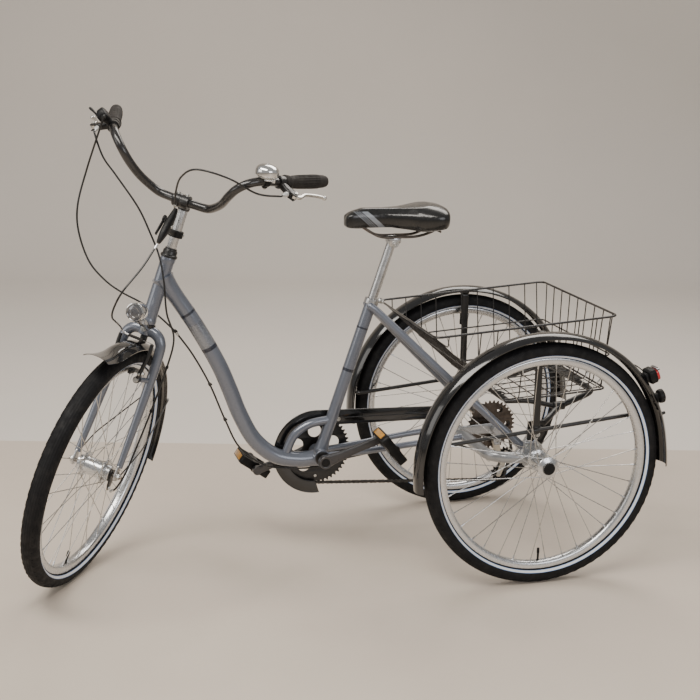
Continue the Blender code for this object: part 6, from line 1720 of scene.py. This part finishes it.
def make_cables():
    tip, leave = barrel_end(1)
    upper = there([tip, tip + leave * 0.012, (0.206, -0.106, 0.806), (0.150, -0.176, 0.822),
                   (0.075, -0.196, 0.818),
                   (0.030, -0.160, 0.788), (0.008, -0.110, 0.748), (0.002, -0.068, 0.7045)])
    run = [cable("upper_casing", upper, 90), ferrule(upper[-1], upper[-2] - upper[-1])]
    show(join("brake_line_upper", run), "steering", "brake_cable_upper", slot="black_plastic")
    lower = there([(0.000, -0.1010, 0.6060), (-0.006, -0.136, 0.544), (-0.022, -0.172, 0.476),
                   (-0.036, -0.160, 0.430),
                   (-0.046, -0.130, 0.400), (-0.050, -0.088, 0.384), (-0.046, -0.060, 0.372)])
    run = [cable("lower_casing", lower[:-1], 80), ferrule(lower[0], lower[1] - lower[0], ALLOY, 0.014)]
    noodle = spline([lower[-2], lower[-1], *there([(-0.0440, -0.0480, 0.3640), (-0.0360, -0.0440, 0.3580),
                                                   (-0.0240, -0.0435, 0.3560)])], 30)
    run.append(sweep("noodle", noodle, 0.0026, ALLOY, 14))
    boot = there([(-0.0240, -0.0435, 0.3560), (-0.0180, -0.0435, 0.3558), (0.0, -0.0435, 0.3556),
                  (0.0160, -0.0435, 0.3554)])
    run.append(sweep("boot", spline(boot, 14), 0.0042, GRIP_RUBBER, 14,
                     [0.8 + 0.2 * (k % 2) for k in range(14)]))
    run.append(sweep("inner_wire", there([(0.0150, -0.0435, 0.3554), (0.0470, -0.0435, 0.3550)]), 0.0009,
                     SPOKE_STEEL, 8))
    show(join("brake_line_lower", run), "steering", "brake_cable_lower", slot="black_plastic")
    tip, leave = barrel_end(-1)
    right = there([tip, tip + leave * 0.012, (-0.215, -0.082, 0.765), (-0.173, -0.066, 0.730),
                   (-0.099, -0.050, 0.672),
                   (-0.047, -0.045, 0.618), (-0.008, -0.042, 0.571), (0.022, -0.038, 0.515),
                   (0.050, -0.026, 0.440),
                   (0.078, 0.004, 0.380), (0.080, 0.016, 0.300), (0.079, 0.004, 0.180),
                   (0.080, -0.022, 0.080),
                   (0.079, -0.038, 0.015), (0.068, -0.043, -0.032), (0.0555, -0.046, -0.047)])
    run = [cable("hub_casing", right, 150), ferrule(right[-1], right[-2] - right[-1], ALLOY, 0.012),
           ferrule(right[0], right[1] - right[0])]
    for near in (10, 11):
        spot = right[near]
        run.append(lathe("cable_band", rounded([(0.0022, -0.004), (0.0040, -0.004), (0.0040, 0.004),
                                                (0.0022, 0.004)], 0.0005),
                         on(spot, right[near + 1] - right[near - 1]), PLASTIC_BLACK, 18))
    show(join("hub_brake_line", run), "steering", "hub_brake_cable", slot="black_plastic")

    loop = rel([(-0.070, -1.080, 1.120), (-0.075, -1.114, 1.069), (-0.072, -1.140, 0.979),
                (-0.067, -1.140, 0.911),
                (-0.061, -1.117, 0.836), (-0.052, -1.079, 0.787), (-0.045, -1.038, 0.755),
                (-0.036, -0.986, 0.725),
                (-0.030, -0.947, 0.692), (-0.027, -0.905, 0.650)])
    outlet, leave = shift_outlet()
    loop = there([outlet, outlet + leave * 0.012]) + loop[1:]
    piece = cable("gear_line_loop", loop, 150)
    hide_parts("shift_cable_loop")
    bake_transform(piece)
    along = rel([(-0.027, -0.9045, 0.6494), (-0.027, -0.860, 0.585), (-0.027, -0.815, 0.500),
                 (-0.027, -0.775, 0.400),
                 (-0.027, -0.735, 0.318), (-0.027, -0.665, 0.262), (-0.028, -0.590, 0.247),
                 (-0.030, -0.520, 0.245),
                 (-0.032, -0.440, 0.262), (-0.024, -0.300, 0.283), (-0.022, -0.150, 0.287),
                 (-0.022, -0.060, 0.262),
                 (-0.022, -0.010, 0.225)])
    run = [cable("gear_casing", along, 200), ferrule(along[0], along[1] - along[0], ZINC_BOLT, 0.014)]
    for index in (0, 2, 3, 5, 7):
        way = along[index + 1] - along[max(index - 1, 0)]
        run.append(lathe("cable_guide", rounded([(0.0024, -0.004), (0.0042, -0.004), (0.0042, 0.004),
                                                 (0.0024, 0.004)], 0.0005),
                         on(along[index], way), SATIN_BLACK, 18))
        run.append(bar("guide_tab", along[index] + Vector((0.0020, 0, 0)),
                       along[index] + Vector((0.0100, 0.004, 0.003)), 0.006, 0.002,
                       SATIN_BLACK, way, 0.0006))
    run.append(ferrule(along[-1], along[-2] - along[-1], ZINC_BOLT, 0.012))
    show(join("gear_line", run), "frame", "shift_cable", slot="black_plastic")


BAR_BLACK = material("handlebar_black", (0.013, 0.012, 0.012), 0.24, 0.0, 0.5, 0.2, 12.0, 1400, 0.00004,
                     dust=0.02)
make_fork()
make_cockpit()
make_levers()
make_shifter_and_bell()
make_brakes()
make_front_fender_and_lamp()
make_cables()


# ---- seat --------------------------------------------------------------------------------------
def make_seat_post():
    top = world(SEAT_TOP)
    profile = [(0, -0.140), (0.0120, -0.1394), (0.0127, -0.1385), (0.0127, 0.1500), (0.0120, 0.1560),
               (0, 0.1580)]
    pieces = [lathe("post_tube", profile, on(top, SEAT_WAY), ALLOY, 44)]
    head = top + SEAT_WAY * 0.158
    pieces.append(blob("post_head", head + Vector((-0.0165, 0.004, 0.004)),
                       head + Vector((0.0165, 0.004, 0.004)), 0.0150, 0.0110,
                       (0, 0.94, 0.33), ALLOY, 0.5, 0.0025))
    for side in (1, -1):
        pieces.append(blob("post_clamp", head + Vector((side * 0.0165, -0.010, 0.008)),
                           head + Vector((side * 0.0165, 0.020, 0.010)), 0.0065,
                           0.0090, (1, 0, 0), ALLOY, 0.55, 0.002))
        pieces.append(bolt("post_bolt", head + Vector((side * 0.0230, 0.004, 0.0)), (side, 0, 0), 0.0072,
                           0.0060))
        rail = spline(rel([(side * 0.011, -0.418, 0.9240), (side * 0.017, -0.398, 0.9080),
                           (side * 0.022, -0.362, 0.8895),
                           (side * 0.022, -0.310, 0.8870), (side * 0.022, -0.262, 0.8880),
                           (side * 0.029, -0.226, 0.8990),
                           (side * 0.034, -0.206, 0.9120)]), 60)
        pieces.append(sweep("seat_rail", rail, 0.0035, DARK_STEEL, 16))
    loop = bend(rel([(-0.034, -0.212, 0.9080), (-0.030, -0.196, 0.8985), (0.030, -0.196, 0.8985),
                     (0.034, -0.212, 0.9080)]), 0.010)
    pieces.append(sweep("rail_loop", loop, 0.0030, DARK_STEEL, 14))
    show(join("post_tube", pieces), "seat", "seat_post", slot="alloy")


def saddle_ring(half, high, low):
    """The section of the saddle: crowned above, rolling over to a skirt that pulls in below."""
    outline = [(0.0, high), (0.28, high * 0.985), (0.55, high * 0.90), (0.76, high * 0.70),
               (0.90, high * 0.42), (0.985, high * 0.05),
               (1.0, -0.008), (0.985, low * 0.50), (0.94, low * 0.78), (0.86, low * 0.95), (0.70, low),
               (0.35, low * 0.98), (0.0, low * 0.97)]
    return [(x * half, z) for x, z in outline] + [(-x * half, z) for x, z in reversed(outline[1:-1])]


def make_saddle():
    stations = [(-0.147, 0.012, -0.008, -0.028), (-0.143, 0.021, 0.001, -0.032),
                (-0.132, 0.0265, 0.009, -0.034),
                (-0.105, 0.0290, 0.0135, -0.032), (-0.070, 0.0315, 0.0135, -0.029),
                (-0.035, 0.0375, 0.0135, -0.029),
                (0.000, 0.0510, 0.0145, -0.032), (0.030, 0.0680, 0.0170, -0.035),
                (0.058, 0.0840, 0.0205, -0.038),
                (0.085, 0.0930, 0.0235, -0.038), (0.108, 0.0935, 0.0240, -0.036),
                (0.124, 0.0830, 0.0215, -0.030),
                (0.131, 0.0620, 0.0160, -0.022)]
    curve = spline([(y, half, high) for y, half, high, low in stations], 46)
    lows = spline([(y, low, 0) for y, half, high, low in stations], 46)
    rings = []
    for (y, half, high), (_, low, _) in zip(curve, lows):
        rings.append([world((x, -0.312 + y, 0.9465 + z)) for x,
                      z in saddle_ring(half - 0.0015, high - 0.0015, low + 0.0010)])
    cover = loft("saddle_pad", rings, SADDLE_BLACK, smooth=60)
    cover = puff(cover, 0.0045, 4.0, 0.006)
    show(cover, "seat", "saddle", slot="saddle_cover")


def puff(obj, voxel, pressure, cap):
    """Fills a cover by a short cloth simulation and keeps how far any point may move small."""
    scene = bpy.context.scene

    def settle(source):
        bpy.context.view_layer.update()
        mesh = bpy.data.meshes.new_from_object(source.evaluated_get(bpy.context.evaluated_depsgraph_get()))
        return mesh

    remesh = obj.modifiers.new("remesh", "REMESH")
    remesh.mode = "VOXEL"
    remesh.voxel_size = voxel
    obj.data = settle(obj)
    obj.modifiers.clear()
    rest = [v.co.copy() for v in obj.data.vertices]
    cloth = obj.modifiers.new("cloth", "CLOTH")
    cloth.settings.use_pressure = True
    cloth.settings.uniform_pressure_force = pressure
    cloth.settings.effector_weights.gravity = 0.0
    cloth.settings.quality = 6
    cloth.point_cache.frame_start = 1
    cloth.point_cache.frame_end = 20
    for frame_number in range(1, 21):
        scene.frame_set(frame_number)
    swollen = settle(obj)
    obj.modifiers.clear()
    scene.frame_set(1)
    for vert, new, old in zip(obj.data.vertices, swollen.vertices, rest):
        move = new.co - old
        if move.length > cap:
            move = move.normalized() * cap
        vert.co = old + move
    finer = obj.modifiers.new("finer", "SUBSURF")
    finer.levels = finer.render_levels = 1
    obj.data = settle(obj)
    obj.modifiers.clear()
    obj.data.materials.clear()
    obj.data.materials.append(SADDLE_BLACK)
    obj.data.shade_smooth()
    return obj


def add_saddle_stripes(finish):
    """One wide and three narrow grey stripes that slant down and back over the saddle's sides."""
    nodes, links = finish.node_tree.nodes, finish.node_tree.links
    shader = nodes["Principled BSDF"]
    tint = shader.inputs["Base Color"].links[0].from_socket
    coord = nodes.new("ShaderNodeTexCoord")
    split = nodes.new("ShaderNodeSeparateXYZ")
    links.new(coord.outputs["Object"], split.inputs[0])

    def maths(operation, a, b):
        node = nodes.new("ShaderNodeMath")
        node.operation = operation
        for socket, value in zip(node.inputs, (a, b)):
            if isinstance(value, float):
                socket.default_value = value
            else:
                links.new(value, socket)
        return node.outputs[0]

    slant = maths("ADD", split.outputs["Y"], maths("MULTIPLY", split.outputs["Z"], 1.13))
    mask = None
    for start, end in ((0.6660, 0.6840), (0.6590, 0.6615), (0.6525, 0.6550), (0.6460, 0.6485)):
        inside = maths("MULTIPLY", maths("GREATER_THAN", slant, start + REAR_Y),
                       maths("LESS_THAN", slant, end + REAR_Y))
        mask = inside if mask is None else maths("ADD", mask, inside)
    mask = maths("MULTIPLY", mask, maths("LESS_THAN", split.outputs["Z"], 0.9570))
    mix = nodes.new("ShaderNodeMix")
    mix.data_type = "RGBA"
    links.new(mask, mix.inputs["Factor"])
    links.new(tint, mix.inputs["A"])
    mix.inputs["B"].default_value = (0.23, 0.25, 0.28, 1)
    links.new(mix.outputs["Result"], shader.inputs["Base Color"])


add_saddle_stripes(SADDLE_BLACK)
make_seat_post()
make_saddle()


# ---- done --------------------------------------------------------------------------------------
bpy.context.view_layer.update()
